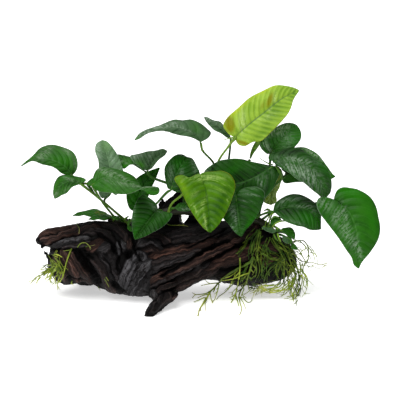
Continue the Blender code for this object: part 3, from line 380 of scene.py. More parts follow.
        ((197.4, 140.4, 2), (187, 136.6, -5), (174, 133.2, -9), (160.9, 131.7, -9), (148.2, 132.8, -9),
         (139.2, 138.8, -10)),
        ((190, 212, -3), (200, 200, 10), (211, 180, 16), (214, 164.5, 13), (205.4, 154, 9),
         (202.3, 150.6, 8.4), (201.6, 148, 8), (201, 144.5, 8)),
    ),
    "leaf_right_arched": Leaf(
        "rhizome_right",
        ((273.5, 161.5, -2), (285, 157, -2), (300, 160, -4), (314, 170.5, -7), (322, 184, -9),
         (325.5, 198.3, -9)),
        ((268.8, 159.5, 1), (269, 155, 4), (275.5, 151.8, 8), (284.5, 148.9, 11), (294.4, 148.2, 12),
         (304, 150.9, 12), (313.4, 156.5, 10), (321.3, 163.3, 7), (327.9, 171.6, 4), (331.3, 182, 0),
         (330.8, 192, -4)),
        ((275.8, 165, -4), (282, 168.6, -9), (290, 173.2, -14), (297, 179.7, -19), (304, 183.3, -21),
         (311, 188.4, -21), (317.5, 194, -18), (321, 197.6, -14)),
        ((256, 219, 1), (259, 206, 13), (267.5, 189, 16), (274.5, 172, 13), (276.5, 162.5, 5),
         (274.6, 161.8, 0)),
    ),
    "leaf_right_behind": Leaf(
        "rhizome_right",
        ((285.5, 173, 15.5), (302, 164.5, 17), (320, 165, 16), (335.4, 176.6, 12)),
        ((281.5, 169, 18), (283.5, 157, 22), (291, 148.8, 26), (303, 146.9, 28), (312, 151, 26),
         (319.5, 156.6, 24), (326.5, 164.8, 20), (331.5, 173, 15)),
        ((282, 178.5, 16), (284.5, 183, 15), (293, 182.8, 12), (303, 182, 9), (315, 181.5, 8),
         (327, 181, 8)),
        ((258, 219.5, 1), (262.5, 202, 4), (272, 188.5, 4), (281, 179.5, 5), (286.5, 175, 9.5),
         (288.3, 173.9, 13.4)),
    ),
    "leaf_right_hanging": Leaf(
        "rhizome_right",
        ((280, 171.5, 17), (275.5, 182, 19), (271.5, 194, 19), (271, 205, 16)),
        ((274.5, 171, 18), (269, 180, 20), (264.5, 193, 20), (264, 202, 18)),
        ((283.4, 175, 15), (280.6, 183, 13), (277, 193, 12), (276, 202, 13)),
        ((253, 218, 3), (261, 203, 22), (272.5, 188, 26), (279.5, 174, 20)),
    ),
    "leaf_right_low": Leaf(
        "rhizome_right",
        ((273.3, 211.2, -9), (285, 207.5, -7), (300, 207.5, -7), (313, 213.5, -10), (320.6, 229.4, -17)),
        ((274, 206.5, -5), (276.5, 201.5, 1), (284.6, 196.6, 6), (295.8, 194.5, 9), (306.3, 196.5, 8),
         (314.7, 202.1, 5), (319.6, 210, 0), (320.9, 220, -8)),
        ((277, 214.8, -13), (283, 219.5, -18), (290, 223.4, -22), (297, 226.4, -24), (304, 227, -25),
         (310.5, 229.7, -24), (316, 230.4, -21)),
        ((255, 218.5, -1), (262, 214.5, -6), (271.5, 211.6, -9)),
    ),
    "leaf_far_right": Leaf(
        "rhizome_right",
        ((333.9, 199.8, -7), (343, 206.4, -9), (350, 214, -13), (355, 226, -19), (358, 246, -27),
         (358.4, 268.4, -31)),
        ((330, 198.3, -9), (324, 196.7, -13), (318, 198.7, -17), (316.1, 204, -21), (319, 212, -23),
         (325.8, 221, -25), (337.2, 236.8, -28), (345.8, 249.3, -30), (351.8, 258, -31),
         (353.6, 264.5, -32)),
        ((334.6, 195.5, -5), (337.5, 189.8, -2), (343, 187.1, 0), (350.5, 187.7, 1), (358, 189.4, 1),
         (369.6, 196.9, -1), (375.8, 206.4, -4), (379, 218.5, -9), (380.5, 227, -13), (378.7, 237.9, -18),
         (369.6, 252.8, -25), (361.7, 262.7, -30)),
        ((260, 221, 1), (272, 213, 3), (287, 209.5, 9), (302, 206, 14), (319, 202.5, 10),
         (331.5, 200.3, -4)),
    ),
    "leaf_small_right": Leaf(
        "rhizome_right",
        ((280.6, 229.9, -17), (286, 231, -16), (291.5, 234.3, -16), (294.3, 239.8, -16)),
        ((283.4, 227.9, -12), (288.5, 227.2, -10), (292.8, 229.3, -10), (295.3, 233, -12)),
        ((283.5, 232.9, -19), (287.5, 235.5, -20), (291.3, 238, -18)),
        ((270, 229, -3), (273, 226, -9), (278, 228.8, -15)),
        small=True,
    ),
    "leaf_small_middle": Leaf(
        "rhizome_right",
        ((277.5, 230.8, -23), (270.5, 229.8, -24), (262, 227.2, -25)),
        ((274, 228.7, -20), (267, 227.7, -22)),
        ((273.5, 233, -26), (267, 231.4, -27)),
        ((273, 232, -3), (278.5, 229, -12), (279, 230.3, -20)),
        small=True,
    ),
    "leaf_small_grey": Leaf(
        "rhizome_right",
        ((290, 242.6, -29), (286.5, 240.3, -30), (282.7, 235.6, -30)),
        ((289.3, 240, -27), (285.5, 236.7, -28)),
        ((287, 243.6, -32), (283, 240.6, -32)),
        ((274.5, 233.5, -4), (284, 236, -16), (291, 241, -26)),
        small=True,
    ),
    "leaf_small_low": Leaf(
        "rhizome_right",
        ((291.5, 244.3, -25), (294, 246.6, -25), (297.6, 249, -24)),
        ((293.6, 243.2, -23), (296.3, 246.2, -23)),
        ((290.6, 247.4, -28), (294, 249.7, -27)),
        ((273, 231, -3), (286, 233.5, -10), (291.5, 242, -22)),
        small=True,
    ),
    "leaf_small_upright": Leaf(
        "rhizome_right",
        ((270.3, 226.5, -13), (274, 221.5, -13), (281, 218.8, -11)),
        ((270.5, 221, -11), (274.5, 216.7, -10), (279, 216.8, -10)),
        ((273.3, 225, -15), (278, 221.9, -14)),
        ((266, 226.5, -2), (268.5, 226.5, -8), (269.7, 227.6, -12)),
        small=True,
    ),
}

# A young leaf still rolled up: (right, down, away, radius) along its spindle, and the stalk that carries it
ROLLED_LEAF = (
    (250.2, 158.5, 16, 0.9),
    (252, 153, 16, 1.7),
    (254.8, 147.5, 15, 2.5),
    (257.6, 142.5, 14, 2.2),
    (260, 138.5, 13, 0.6),
)
ROLLED_STALK = ((209, 215.5, -2), (224, 199, 12), (240, 178, 19), (249.8, 159.7, 16))





# How each leaf looks: its kind of green, how deep its veins are pressed in, and how many run to each edge
LOOKS = {
    "leaf_far_left": ("mid", 0.35, 9),
    "leaf_left_low": ("mid", 0.3, 7),
    "leaf_left_edge": ("mid", 0.15, 4),
    "leaf_left_upright": ("pale", 0.3, 9),
    "leaf_left_broad": ("mid", 0.35, 9),
    "leaf_left_arched": ("mid", 0.25, 6),
    "leaf_left_fan": ("grey", 0.3, 7),
    "leaf_left_shaded": ("bright", 0.25, 7),
    "leaf_over_wood": ("mid", 0.2, 6),
    "leaf_over_wood_low": ("mid", 0.15, 4),
    "leaf_crown_left": ("mid", 0.1, 3),
    "leaf_crown_left_tip": ("mid", 0.1, 3),
    "leaf_middle_round": ("deep", 0.4, 8),
    "leaf_middle_shaded": ("deep", 0.15, 4),
    "leaf_front_left": ("deep", 0.4, 8),
    "leaf_front_light": ("fresh", 0.5, 8),
    "leaf_front_dark": ("deep", 0.4, 8),
    "leaf_back_broad": ("deep", 0.35, 9),
    "leaf_back_upper": ("bright", 0.35, 8),
    "leaf_top_yellow": ("yellow", 0.35, 14),
    "leaf_top_narrow": ("grey", 0.2, 6),
    "leaf_top_left": ("grey", 0.35, 9),
    "leaf_right_arched": ("deep", 0.4, 9),
    "leaf_right_behind": ("mid", 0.3, 7),
    # Painted light: the hanging leaf takes the yellow green for the light that shines through it
    "leaf_right_hanging": ("yellow", 0.2, 5),
    "leaf_right_low": ("deep", 0.35, 8),
    "leaf_far_right": ("bright", 0.4, 9),
    "leaf_small_right": ("mid", 0.15, 4),
    "leaf_small_middle": ("grey", 0.1, 3),
    "leaf_small_grey": ("grey", 0.1, 3),
    "leaf_small_low": ("mid", 0.1, 3),
    "leaf_small_upright": ("mid", 0.1, 3),
}

@dataclass
class Green:
    """Leaf colours: shaded and lit tissue, veins, dark patches that are partly painted shade, painted sheen
    patches, lush patches, and how rough it is.
    """

    shaded: tuple
    lit: tuple
    veins: tuple
    dark: tuple
    painted_sheen: tuple
    lush: tuple
    roughness: float = 0.32


# The grey and pale kinds are partly a painted reflection of the pale sky; every kind's sheen colour is
# painted reflection
GREENS = {
    "deep": Green((0.006, 0.036, 0.003), (0.016, 0.088, 0.006), (0.035, 0.12, 0.02),
                  (0.0015, 0.009, 0.001), (0.20, 0.28, 0.19), (0.010, 0.12, 0.001)),
    "mid": Green((0.011, 0.062, 0.004), (0.028, 0.135, 0.009), (0.05, 0.17, 0.03),
                 (0.003, 0.024, 0.002), (0.24, 0.33, 0.21), (0.018, 0.16, 0.001)),
    "bright": Green((0.010, 0.072, 0.003), (0.022, 0.13, 0.006), (0.04, 0.16, 0.02),
                    (0.004, 0.040, 0.002), (0.26, 0.37, 0.24), (0.014, 0.15, 0.001)),
    "grey": Green((0.026, 0.070, 0.022), (0.060, 0.13, 0.050), (0.10, 0.18, 0.085),
                  (0.005, 0.026, 0.003), (0.24, 0.32, 0.23), (0.030, 0.16, 0.003), 0.36),
    "pale": Green((0.065, 0.135, 0.060), (0.13, 0.24, 0.115), (0.18, 0.32, 0.15),
                  (0.024, 0.065, 0.018), (0.34, 0.46, 0.33), (0.13, 0.30, 0.06), 0.36),
    "fresh": Green((0.036, 0.12, 0.002), (0.072, 0.20, 0.003), (0.03, 0.11, 0.006),
                   (0.016, 0.075, 0.001), (0.34, 0.50, 0.12), (0.16, 0.31, 0.006), 0.28),
    "yellow": Green((0.19, 0.35, 0.016), (0.34, 0.52, 0.055), (0.09, 0.18, 0.05),
                    (0.08, 0.20, 0.006), (0.50, 0.64, 0.24), (0.42, 0.52, 0.015), 0.34),
}

# Colours of the other skins. Where there are two, the skin is mottled from the dark to the light one
# The olive is painted shade on the yellow leaf
PAINTED_OLIVE_SHADE = (0.20, 0.22, 0.004)
BROWN_SPECKS = (0.30, 0.16, 0.01)
YELLOW_RIM = (0.32, 0.26, 0.02)
STALK_GREENS = (0.018, 0.065, 0.006), (0.045, 0.14, 0.014)
STALK_YELLOW = (0.16, 0.28, 0.03)
JOINT_YELLOW = (0.12, 0.24, 0.04)
CREEPER_BROWNS = (0.006, 0.005, 0.004), (0.022, 0.026, 0.012)
PLAIN_WOOD = (0.0005, 0.0004, 0.0004), (0.008, 0.0044, 0.0036)
WARM_WOOD = (0.010, 0.004, 0.003), (0.22, 0.105, 0.076)
COLD_WOOD = (0.010, 0.0095, 0.010), (0.105, 0.102, 0.108)
# Painted shade in grooves, splits and hollows
HOLLOW_SHADE = (0.0006, 0.0005, 0.0005)
MOSS_GREENS = (0.007, 0.022, 0.003), (0.036, 0.10, 0.009)
# Moss tips: partly their own yellow-green, partly painted light shining through
RIPE_AND_BACKLIT_MOSS = (0.19, 0.30, 0.008), (0.58, 0.66, 0.08)
DRY_MOSS = (0.46, 0.38, 0.16)

# Streaks of a leaf to one of its veins
LEAF_STREAKS = 2.2

# Noise of the skins, in repeats to a metre, and how high their bumps are, in metres
LEAF_MOTTLE = 60
LEAF_FINE = 500
LEAF_BUMP = 0.0007
STALK_MOTTLE = 90
STALK_LINES = (900, 900, 60)
STALK_BUMP = 0.0003
WOOD_FIBRES = (60, 900, 900)
WOOD_STRIPS = (24, 330, 330)
WOOD_BROAD = (25, 160, 160)
WOOD_SPECKS = 260
WOOD_BUMP = 0.0014
MOSS_MOTTLE = 130

# Patches on single leaves: the tone, its middle (right, down), half length, half width, the turn of its
# length in degrees from right towards down, and its strength
# The sheen tone is painted reflection. The dark tone is partly painted shade in folds and under other
# leaves,
# partly darker green. The olive tone is painted shade on the yellow leaf and brown specks on the others
PATCHES = {
    "leaf_far_left": (
        ("painted_sheen", 44, 154, 10, 4, -45, 0.8), ("painted_sheen", 67, 151, 6, 3, 40, 0.6),
        ("painted_sheen", 76, 163, 8, 2.5, 80, 0.6), ("dark", 69, 168, 8, 1.2, 50, 0.8),
        ("lush", 62, 160, 14, 8, 10, 0.6),
    ),
    "leaf_left_low": (
        ("painted_sheen", 69, 179, 9, 1.4, 20, 0.6), ("painted_sheen", 66, 190, 6, 1.6, -35, 0.3),
        ("painted_sheen", 56, 194, 4, 1.6, -60, 0.7), ("dark", 72, 183, 10, 3, 0, 0.7),
        ("lush", 62, 177, 6, 3, -30, 0.5),
    ),
    "leaf_left_upright": (
        ("painted_sheen", 98, 151, 12, 3.5, 82, 0.7), ("painted_sheen", 112, 158, 8, 3, 65, 0.5),
        ("dark", 105, 163, 14, 3, 75, 0.35), ("lush", 106, 146, 7, 5, 60, 0.4),
    ),
    "leaf_left_broad": (
        ("painted_sheen", 105, 172, 12, 2.5, 28, 0.8), ("painted_sheen", 122, 177, 16, 1.6, 30, 0.7),
        ("painted_sheen", 124, 184, 20, 2.5, 12, 0.55), ("lush", 96, 184, 6, 5, 40, 0.5),
        ("lush", 150, 192, 9, 3, 0, 0.9), ("painted_sheen", 150, 187, 8, 0.9, 0, 0.8),
        ("dark", 108, 180, 10, 3, 15, 0.3),
    ),
    "leaf_left_arched": (
        ("painted_sheen", 120, 161, 8, 1.4, 20, 0.8), ("dark", 120, 155.5, 9, 1.6, 10, 0.5),
        ("lush", 140, 164, 8, 3, 40, 0.8), ("lush", 125, 166, 6, 3, 20, 1),
    ),
    "leaf_left_fan": (
        ("painted_sheen", 135, 156, 8, 3, -10, 0.7), ("dark", 155, 155, 10, 3, -45, 0.5),
        ("lush", 141, 165, 6, 3, 35, 0.9), ("painted_sheen", 150, 157, 8, 2, -65, 0.6),
    ),
    "leaf_left_shaded": (("lush", 137, 205, 12, 8, 90, 0.5), ("dark", 145, 182, 12, 6, -50, 0.7)),
    "leaf_over_wood": (("lush", 88, 213, 14, 4, 0, 0.7), ("olive", 100, 213, 4, 1.5, 10, 0.9)),
    "leaf_over_wood_low": (("dark", 103, 217, 7, 2, 0, 0.5), ("lush", 94, 218, 8, 3, 0, 0.6)),
    "leaf_middle_round": (
        ("lush", 180, 163, 10, 8, 90, 1), ("painted_sheen", 171, 174, 10, 3, 90, 0.55),
        ("painted_sheen", 182, 174, 6, 2, 85, 0.7), ("painted_sheen", 194, 166, 9, 2.5, 70, 0.7),
        ("dark", 186, 186, 12, 5, -30, 0.8),
    ),
    "leaf_middle_shaded": (("painted_sheen", 186, 209, 6, 1.6, 0, 0.8), ("dark", 180, 214, 12, 4, 0, 0.6)),
    "leaf_front_left": (
        ("dark", 142, 203, 7, 5, 90, 0.6), ("dark", 151, 216, 7, 2, -60, 0.6),
        ("painted_sheen", 134, 213, 9, 1.6, 95, 0.5), ("painted_sheen", 155, 206, 9, 3, 50, 0.5),
        ("lush", 135, 232, 6, 2.5, -60, 0.7), ("lush", 145, 219, 8, 3, -40, 0.4),
    ),
    "leaf_front_light": (
        ("painted_sheen", 205, 177.5, 20, 3, 0, 0.8), ("painted_sheen", 194, 194, 5, 1.2, -35, 0.8),
        ("painted_sheen", 203, 204, 7, 1.6, -65, 0.9), ("painted_sheen", 205, 221, 9, 1.4, 82, 0.9),
        ("painted_sheen", 196, 210, 6, 1.2, 70, 0.8), ("painted_sheen", 193, 206, 4, 1, 15, 0.6),
        ("painted_sheen", 228, 199, 2, 1, -80, 1), ("painted_sheen", 218, 182, 12, 1.2, 22, 0.5),
        ("painted_sheen", 218, 189, 12, 1.2, 25, 0.4), ("dark", 216, 211, 16, 8, -60, 0.9),
        ("dark", 209, 228, 8, 5, -90, 0.8), ("dark", 197, 202, 8, 4, 60, 0.35),
        ("dark", 224, 195, 12, 5, -60, 0.6), ("dark", 218, 185.5, 10, 1, 22, 0.5),
        ("lush", 183, 186, 12, 3, 65, 0.8), ("lush", 200, 224, 9, 2.5, 50, 0.4),
    ),
    "leaf_front_dark": (
        ("painted_sheen", 233, 213, 8, 3, 75, 0.6), ("painted_sheen", 233, 228, 4, 1.4, 60, 1),
        ("painted_sheen", 236, 220, 6, 1, 85, 0.8), ("painted_sheen", 250, 189, 10, 2, -5, 0.35),
        ("painted_sheen", 251, 194.5, 8, 0.9, 10, 0.8), ("painted_sheen", 247, 201, 9, 0.9, 12, 0.5),
        ("lush", 250, 222, 9, 2, -50, 0.8), ("lush", 236, 188, 6, 1.5, -20, 0.6),
        ("dark", 240, 197.5, 9, 1.2, 5, 0.5), ("dark", 249, 209, 9, 3, 30, 0.5),
    ),
    "leaf_back_broad": (
        ("dark", 213, 168, 6, 1.4, -65, 1), ("painted_sheen", 207, 169, 5, 3, -60, 0.4),
        ("painted_sheen", 261, 183, 5, 2, 50, 0.8), ("painted_sheen", 266, 177, 12, 5, -40, 0.3),
        ("dark", 262, 170, 18, 1.2, -38, 0.8), ("dark", 238, 178, 16, 9, 0, 0.9),
        ("lush", 272, 192, 9, 3, -60, 0.8), ("lush", 232, 170, 10, 4, -30, 0.5),
        ("dark", 265, 164, 10, 2, 20, 0.4),
    ),
    "leaf_back_upper": (
        ("painted_sheen", 284, 128, 9, 3, -30, 0.8), ("painted_sheen", 265, 145, 10, 3.5, 48, 0.9),
        ("lush", 290, 138, 10, 8, 0, 0.8), ("dark", 274, 147, 9, 1.6, 80, 0.4),
        ("painted_sheen", 287, 141, 9, 6, -40, 0.5), ("painted_sheen", 270, 133, 8, 3, -50, 0.6),
        ("painted_sheen", 279, 131, 9, 5, 0, 0.8),
    ),
    "leaf_top_yellow": (
        ("olive", 229.5, 124, 10, 5.5, 78, 1), ("olive", 270, 100, 9, 2.6, 108, 0.9),
        ("olive", 262, 106, 7, 3, 110, 0.5), ("painted_sheen", 242, 122, 12, 3.5, 92, 0.8),
        ("painted_sheen", 275, 97, 5, 2, 100, 0.6), ("painted_sheen", 270, 109.5, 1.5, 1.2, 0, 1),
        ("painted_sheen", 266, 117, 12, 3, -20, 0.35), ("lush", 238, 109, 14, 2.5, -45, 0.9),
        ("lush", 265, 90, 14, 2, -28, 0.8), ("dark", 262, 134, 14, 6, -35, 0.7),
        ("dark", 274, 111, 20, 7, -58, 0.9), ("dark", 294, 93, 8, 5, -60, 0.9),
        ("olive", 243, 143, 9, 2.5, 15, 0.8), ("dark", 238, 139, 5, 2.5, 30, 0.7),
    ),
    "leaf_top_narrow": (
        ("painted_sheen", 208, 118, 5, 3, 30, 0.8), ("painted_sheen", 219, 123, 8, 2.5, 25, 0.6),
        ("dark", 221, 130, 12, 2.2, 38, 0.9),
    ),
    "leaf_top_left": (
        ("painted_sheen", 146, 131, 12, 3, -28, 1), ("painted_sheen", 162, 126.5, 14, 2.5, -8, 0.9),
        ("painted_sheen", 176, 124, 10, 1.6, 30, 0.7), ("painted_sheen", 186, 130, 12, 1.6, 22, 0.4),
        ("lush", 196, 127, 8, 6, 60, 0.6), ("dark", 170, 130.5, 22, 0.8, 0, 0.6),
        ("lush", 137, 138, 4, 2, -40, 0.9),
    ),
    "leaf_right_arched": (
        ("lush", 322, 165, 16, 3.5, 55, 0.7), ("dark", 290, 152, 22, 4, -4, 0.9),
        ("painted_sheen", 300, 160, 16, 2, 8, 0.8), ("painted_sheen", 303, 169, 18, 7, 30, 0.55),
        ("painted_sheen", 290, 168, 14, 4, 30, 0.8), ("painted_sheen", 312, 180, 12, 7, 50, 0.85),
        ("dark", 327, 178, 9, 2, 80, 0.4),
    ),
    "leaf_right_behind": (("painted_sheen", 312, 153, 18, 1.6, 35, 1),),
    # A painted light strip where light shines through the hanging leaf
    "leaf_right_hanging": (("painted_sheen", 274, 193, 16, 9, 97, 1.6),),
    "leaf_right_low": (
        ("painted_sheen", 296, 199, 14, 1.8, -8, 0.8), ("painted_sheen", 284, 201, 7, 1.4, -40, 0.7),
        ("painted_sheen", 302, 206, 8, 2, 0, 0.8), ("dark", 288, 211, 15, 5, 0, 1),
        ("painted_sheen", 312, 209, 6, 3, 50, 0.6), ("lush", 310, 217, 12, 8, 20, 1),
        ("painted_sheen", 296, 222.5, 12, 1.4, 18, 0.4), ("dark", 302, 211, 9, 1.6, 10, 0.6),
    ),
    "leaf_far_right": (
        ("lush", 350, 192, 18, 6, 15, 1), ("painted_sheen", 324, 203, 9, 6, 40, 0.55),
        ("painted_sheen", 336, 215, 10, 2, 110, 0.7), ("painted_sheen", 346, 218, 14, 2.5, 75, 0.6),
        ("painted_sheen", 346, 234, 14, 4, 60, 0.7), ("painted_sheen", 358, 248, 14, 3, 75, 0.6),
        ("lush", 372, 220, 16, 5, 75, 0.8), ("dark", 338, 203, 9, 2, 10, 0.4),
        ("painted_sheen", 341, 213, 8, 1, 120, 0.7),
    ),
    "leaf_small_right": (("dark", 284, 231, 9, 1.5, 20, 0.7), ("lush", 291, 232, 6, 4, 60, 0.6)),
}


def placed(point):
    """The drawn point (right, down, away), in metres."""
    right, down, away = (float(v) for v in point[:3])
    across = right - SHEET_SIDE / 2
    up = SHEET_SIDE / 2 - down
    rise, run = math.sin(EYE_ELEVATION), math.cos(EYE_ELEVATION)
    behind = (away - up * rise) / (run + up * rise / EYE_DISTANCE)
    spread = 1 + behind / EYE_DISTANCE
    x = spread * across - BOX_MIDDLE_X
    y = away - BOX_MIDDLE_Y
    z = SHEET_MIDDLE_HEIGHT - behind * rise + spread * up * run
    return np.array((x, y, z)) * MM


def drawn_at(places):
    """Where points of the row frame, in metres, are seen on the sheet: an array of (right, down)."""
    rise, run = math.sin(EYE_ELEVATION), math.cos(EYE_ELEVATION)
    x, y, z = (np.asarray(places) / MM).T
    x, y, z = x + BOX_MIDDLE_X, y + BOX_MIDDLE_Y, z - SHEET_MIDDLE_HEIGHT
    spread = 1 + (y * run - z * rise) / EYE_DISTANCE
    return np.column_stack([SHEET_SIDE / 2 + x / spread, SHEET_SIDE / 2 - (y * rise + z * run) / spread])


def arc_between(a, b, c, d, steps):
    """Points from b towards c on the centripetal Catmull-Rom curve through a, b, c and d."""
    spans = [max(np.linalg.norm((q - p)[:3]), 1e-9) ** 0.5 for p, q in ((a, b), (b, c), (c, d))]
    knots = np.cumsum([0.0] + spans)
    t = np.linspace(knots[1], knots[2], steps, endpoint=False)[:, None]

    def mixed(p, q, start, end):
        return ((end - t) * p + (t - start) * q) / (end - start)

    ab = mixed(a, b, knots[0], knots[1])
    bc = mixed(b, c, knots[1], knots[2])
    cd = mixed(c, d, knots[2], knots[3])
    abc, bcd = mixed(ab, bc, knots[0], knots[2]), mixed(bc, cd, knots[1], knots[3])
    return mixed(abc, bcd, knots[1], knots[2])


def smooth(points, shares):
    """Points on a smooth curve through `points`, at shares of its length. Extra columns follow along."""
    points = np.asarray(points, float)
    ends = np.vstack([2 * points[0] - points[1], points, 2 * points[-1] - points[-2]])
    curve = [arc_between(*ends[i : i + 4], CURVE_STEPS) for i in range(len(points) - 1)]
    curve = np.vstack(curve + [points[-1:]])
    reached = np.concatenate([[0], np.cumsum(np.linalg.norm(np.diff(curve[:, :3], axis=0), axis=1))])
    return np.column_stack([np.interp(shares, reached / reached[-1], column) for column in curve.T])


def sized(drawn, steps):
    """Even steps along stations (right, down, away, radius), as places and a radius in metres."""
    return smooth([(*placed(p), p[3] * MM) for p in drawn], np.linspace(0, 1, steps))


def unit(vector):
    """The same direction, one long."""
    return vector / max(np.linalg.norm(vector), TINY)


def carried_frames(path, up):
    """A side and an up direction for each point of a path, turned along it without twisting."""
    frames = []
    for tangent in np.gradient(path, axis=0):
        forward = unit(tangent)
        side = unit(np.cross(forward, up))
        up = np.cross(side, forward)
        frames.append((side, up))
    return frames


def tube_shape(path, half_heights, half_depths, sides, up=(0, 0, 1), swell=None):
    """Vertices and faces of a closed tube with elliptical sections. swell(angle, share) roughens them."""
    rings = []
    last = len(path) - 1
    angles = 2 * np.pi * np.arange(sides) / sides
    for i, (side, upward) in enumerate(carried_frames(path, np.asarray(up, float))):
        more = 1 if swell is None else 1 + swell(angles, i / last)[:, None]
        out = np.cos(angles)[:, None] * half_depths[i] * side
        out = out + np.sin(angles)[:, None] * half_heights[i] * upward
        rings.append(path[i] + out * more)
    faces = []
    for i in range(last):
        for k in range(sides):
            after = (k + 1) % sides
            faces.append((i * sides + k, i * sides + after, (i + 1) * sides + after, (i + 1) * sides + k))
    faces.append(tuple(range(sides))[::-1])
    faces.append(tuple(last * sides + k for k in range(sides)))
    return np.vstack(rings), faces


def joined_shapes(shapes):
    """Several (vertices, faces) as one."""
    points, faces, count = [], [], 0
    for more, quads in shapes:
        points.append(more)
        faces += [tuple(count + v for v in quad) for quad in quads]
        count += len(more)
    return np.vstack(points), faces


def mesh_object(name, shape, material=None):
    """An object from vertices and faces, shaded smooth, with its faces turned outwards."""
    mesh = bpy.data.meshes.new(name)
    mesh.from_pydata(np.asarray(shape[0]).tolist(), [], shape[1])
    work = bmesh.new()
    work.from_mesh(mesh)
    bmesh.ops.recalc_face_normals(work, faces=work.faces)
    work.to_mesh(mesh)
    work.free()
    mesh.shade_smooth()
    thing = bpy.data.objects.new(name, mesh)
    bpy.context.scene.collection.objects.link(thing)
    if material:
        mesh.materials.append(material)
    return thing


def store(mesh, name, values):
    """Keeps three numbers a vertex, for the materials to read."""
    layer = mesh.attributes.new(name, "FLOAT_VECTOR", "POINT")
    layer.data.foreach_set("vector", np.asarray(values, np.float32).ravel())


def read(mesh, kind):
    """The places ("co") or normals ("normal") of all vertices, one to a row."""
    values = np.empty(3 * len(mesh.vertices), np.float32)
    mesh.vertices.foreach_get(kind, values)
    return values.reshape(-1, 3).astype(float)


# Materials


class Nodes:
    """Short ways to add and wire the nodes of one material."""

    def __init__(self, name):
        self.material = bpy.data.materials.new(name)
        self.material.use_nodes = True
        self.tree = self.material.node_tree
        self.shader = self.tree.nodes["Principled BSDF"]

    def add(self, kind, inputs=(), **settings):
        node = self.tree.nodes.new(kind)
        for key, value in settings.items():
            setattr(node, key, value)
        for key, value in dict(inputs).items():
            self.put(node.inputs[key], value)
        return node

    def put(self, socket, value):
        if isinstance(value, bpy.types.NodeSocket):
            self.tree.links.new(value, socket)
        elif hasattr(value, "__len__") and len(value) == 3 and socket.type == "RGBA":
            socket.default_value = (*value, 1)
        else:
            socket.default_value = value

    def math(self, operation, *values, clamp=False):
        node = self.add("ShaderNodeMath", operation=operation, use_clamp=clamp)
        for socket, value in zip(node.inputs, values):
            self.put(socket, value)
        return node.outputs[0]

    def times(self, *values, clamp=False):
        return self.math("MULTIPLY", *values, clamp=clamp)

    def plus(self, *values):
        return self.math("ADD", *values)

    def mix(self, share, low, high):
        node = self.add("ShaderNodeMix", data_type="RGBA")
        self.put(node.inputs["Factor"], share)
        self.put(node.inputs["A"], low)
        self.put(node.inputs["B"], high)
        return node.outputs["Result"]

    def noise(self, vector, scale, detail=3.0, roughness=0.5, distortion=0.0):
        inputs = {"Scale": scale, "Detail": detail, "Roughness": roughness, "Distortion": distortion}
        node = self.add("ShaderNodeTexNoise", inputs)
        self.put(node.inputs["Vector"], vector)
        return node.outputs["Fac"]

    def between(self, value, low, high, start=0.0, end=1.0):
        inputs = {"From Min": low, "From Max": high, "To Min": start, "To Max": end}
        node = self.add("ShaderNodeMapRange", inputs)
        node.interpolation_type = "SMOOTHSTEP"
        self.put(node.inputs["Value"], value)
        return node.outputs["Result"]

    def vector(self, name):
        return self.add("ShaderNodeAttribute", attribute_name=name).outputs["Vector"]

    def parts(self, vector):
        node = self.add("ShaderNodeSeparateXYZ")
        self.put(node.inputs[0], vector)
        return node.outputs

    def scaled(self, vector, factors):
        node = self.add("ShaderNodeVectorMath", operation="MULTIPLY")
        self.put(node.inputs[0], vector)
        node.inputs[1].default_value = factors
        return node.outputs[0]

    def place(self):
        return self.add("ShaderNodeTexCoord").outputs["Object"]

    def bump(self, height, distance, strength=1.0):
        node = self.add("ShaderNodeBump", {"Strength": strength, "Distance": distance})
        self.put(node.inputs["Height"], height)
        self.put(self.shader.inputs["Normal"], node.outputs["Normal"])


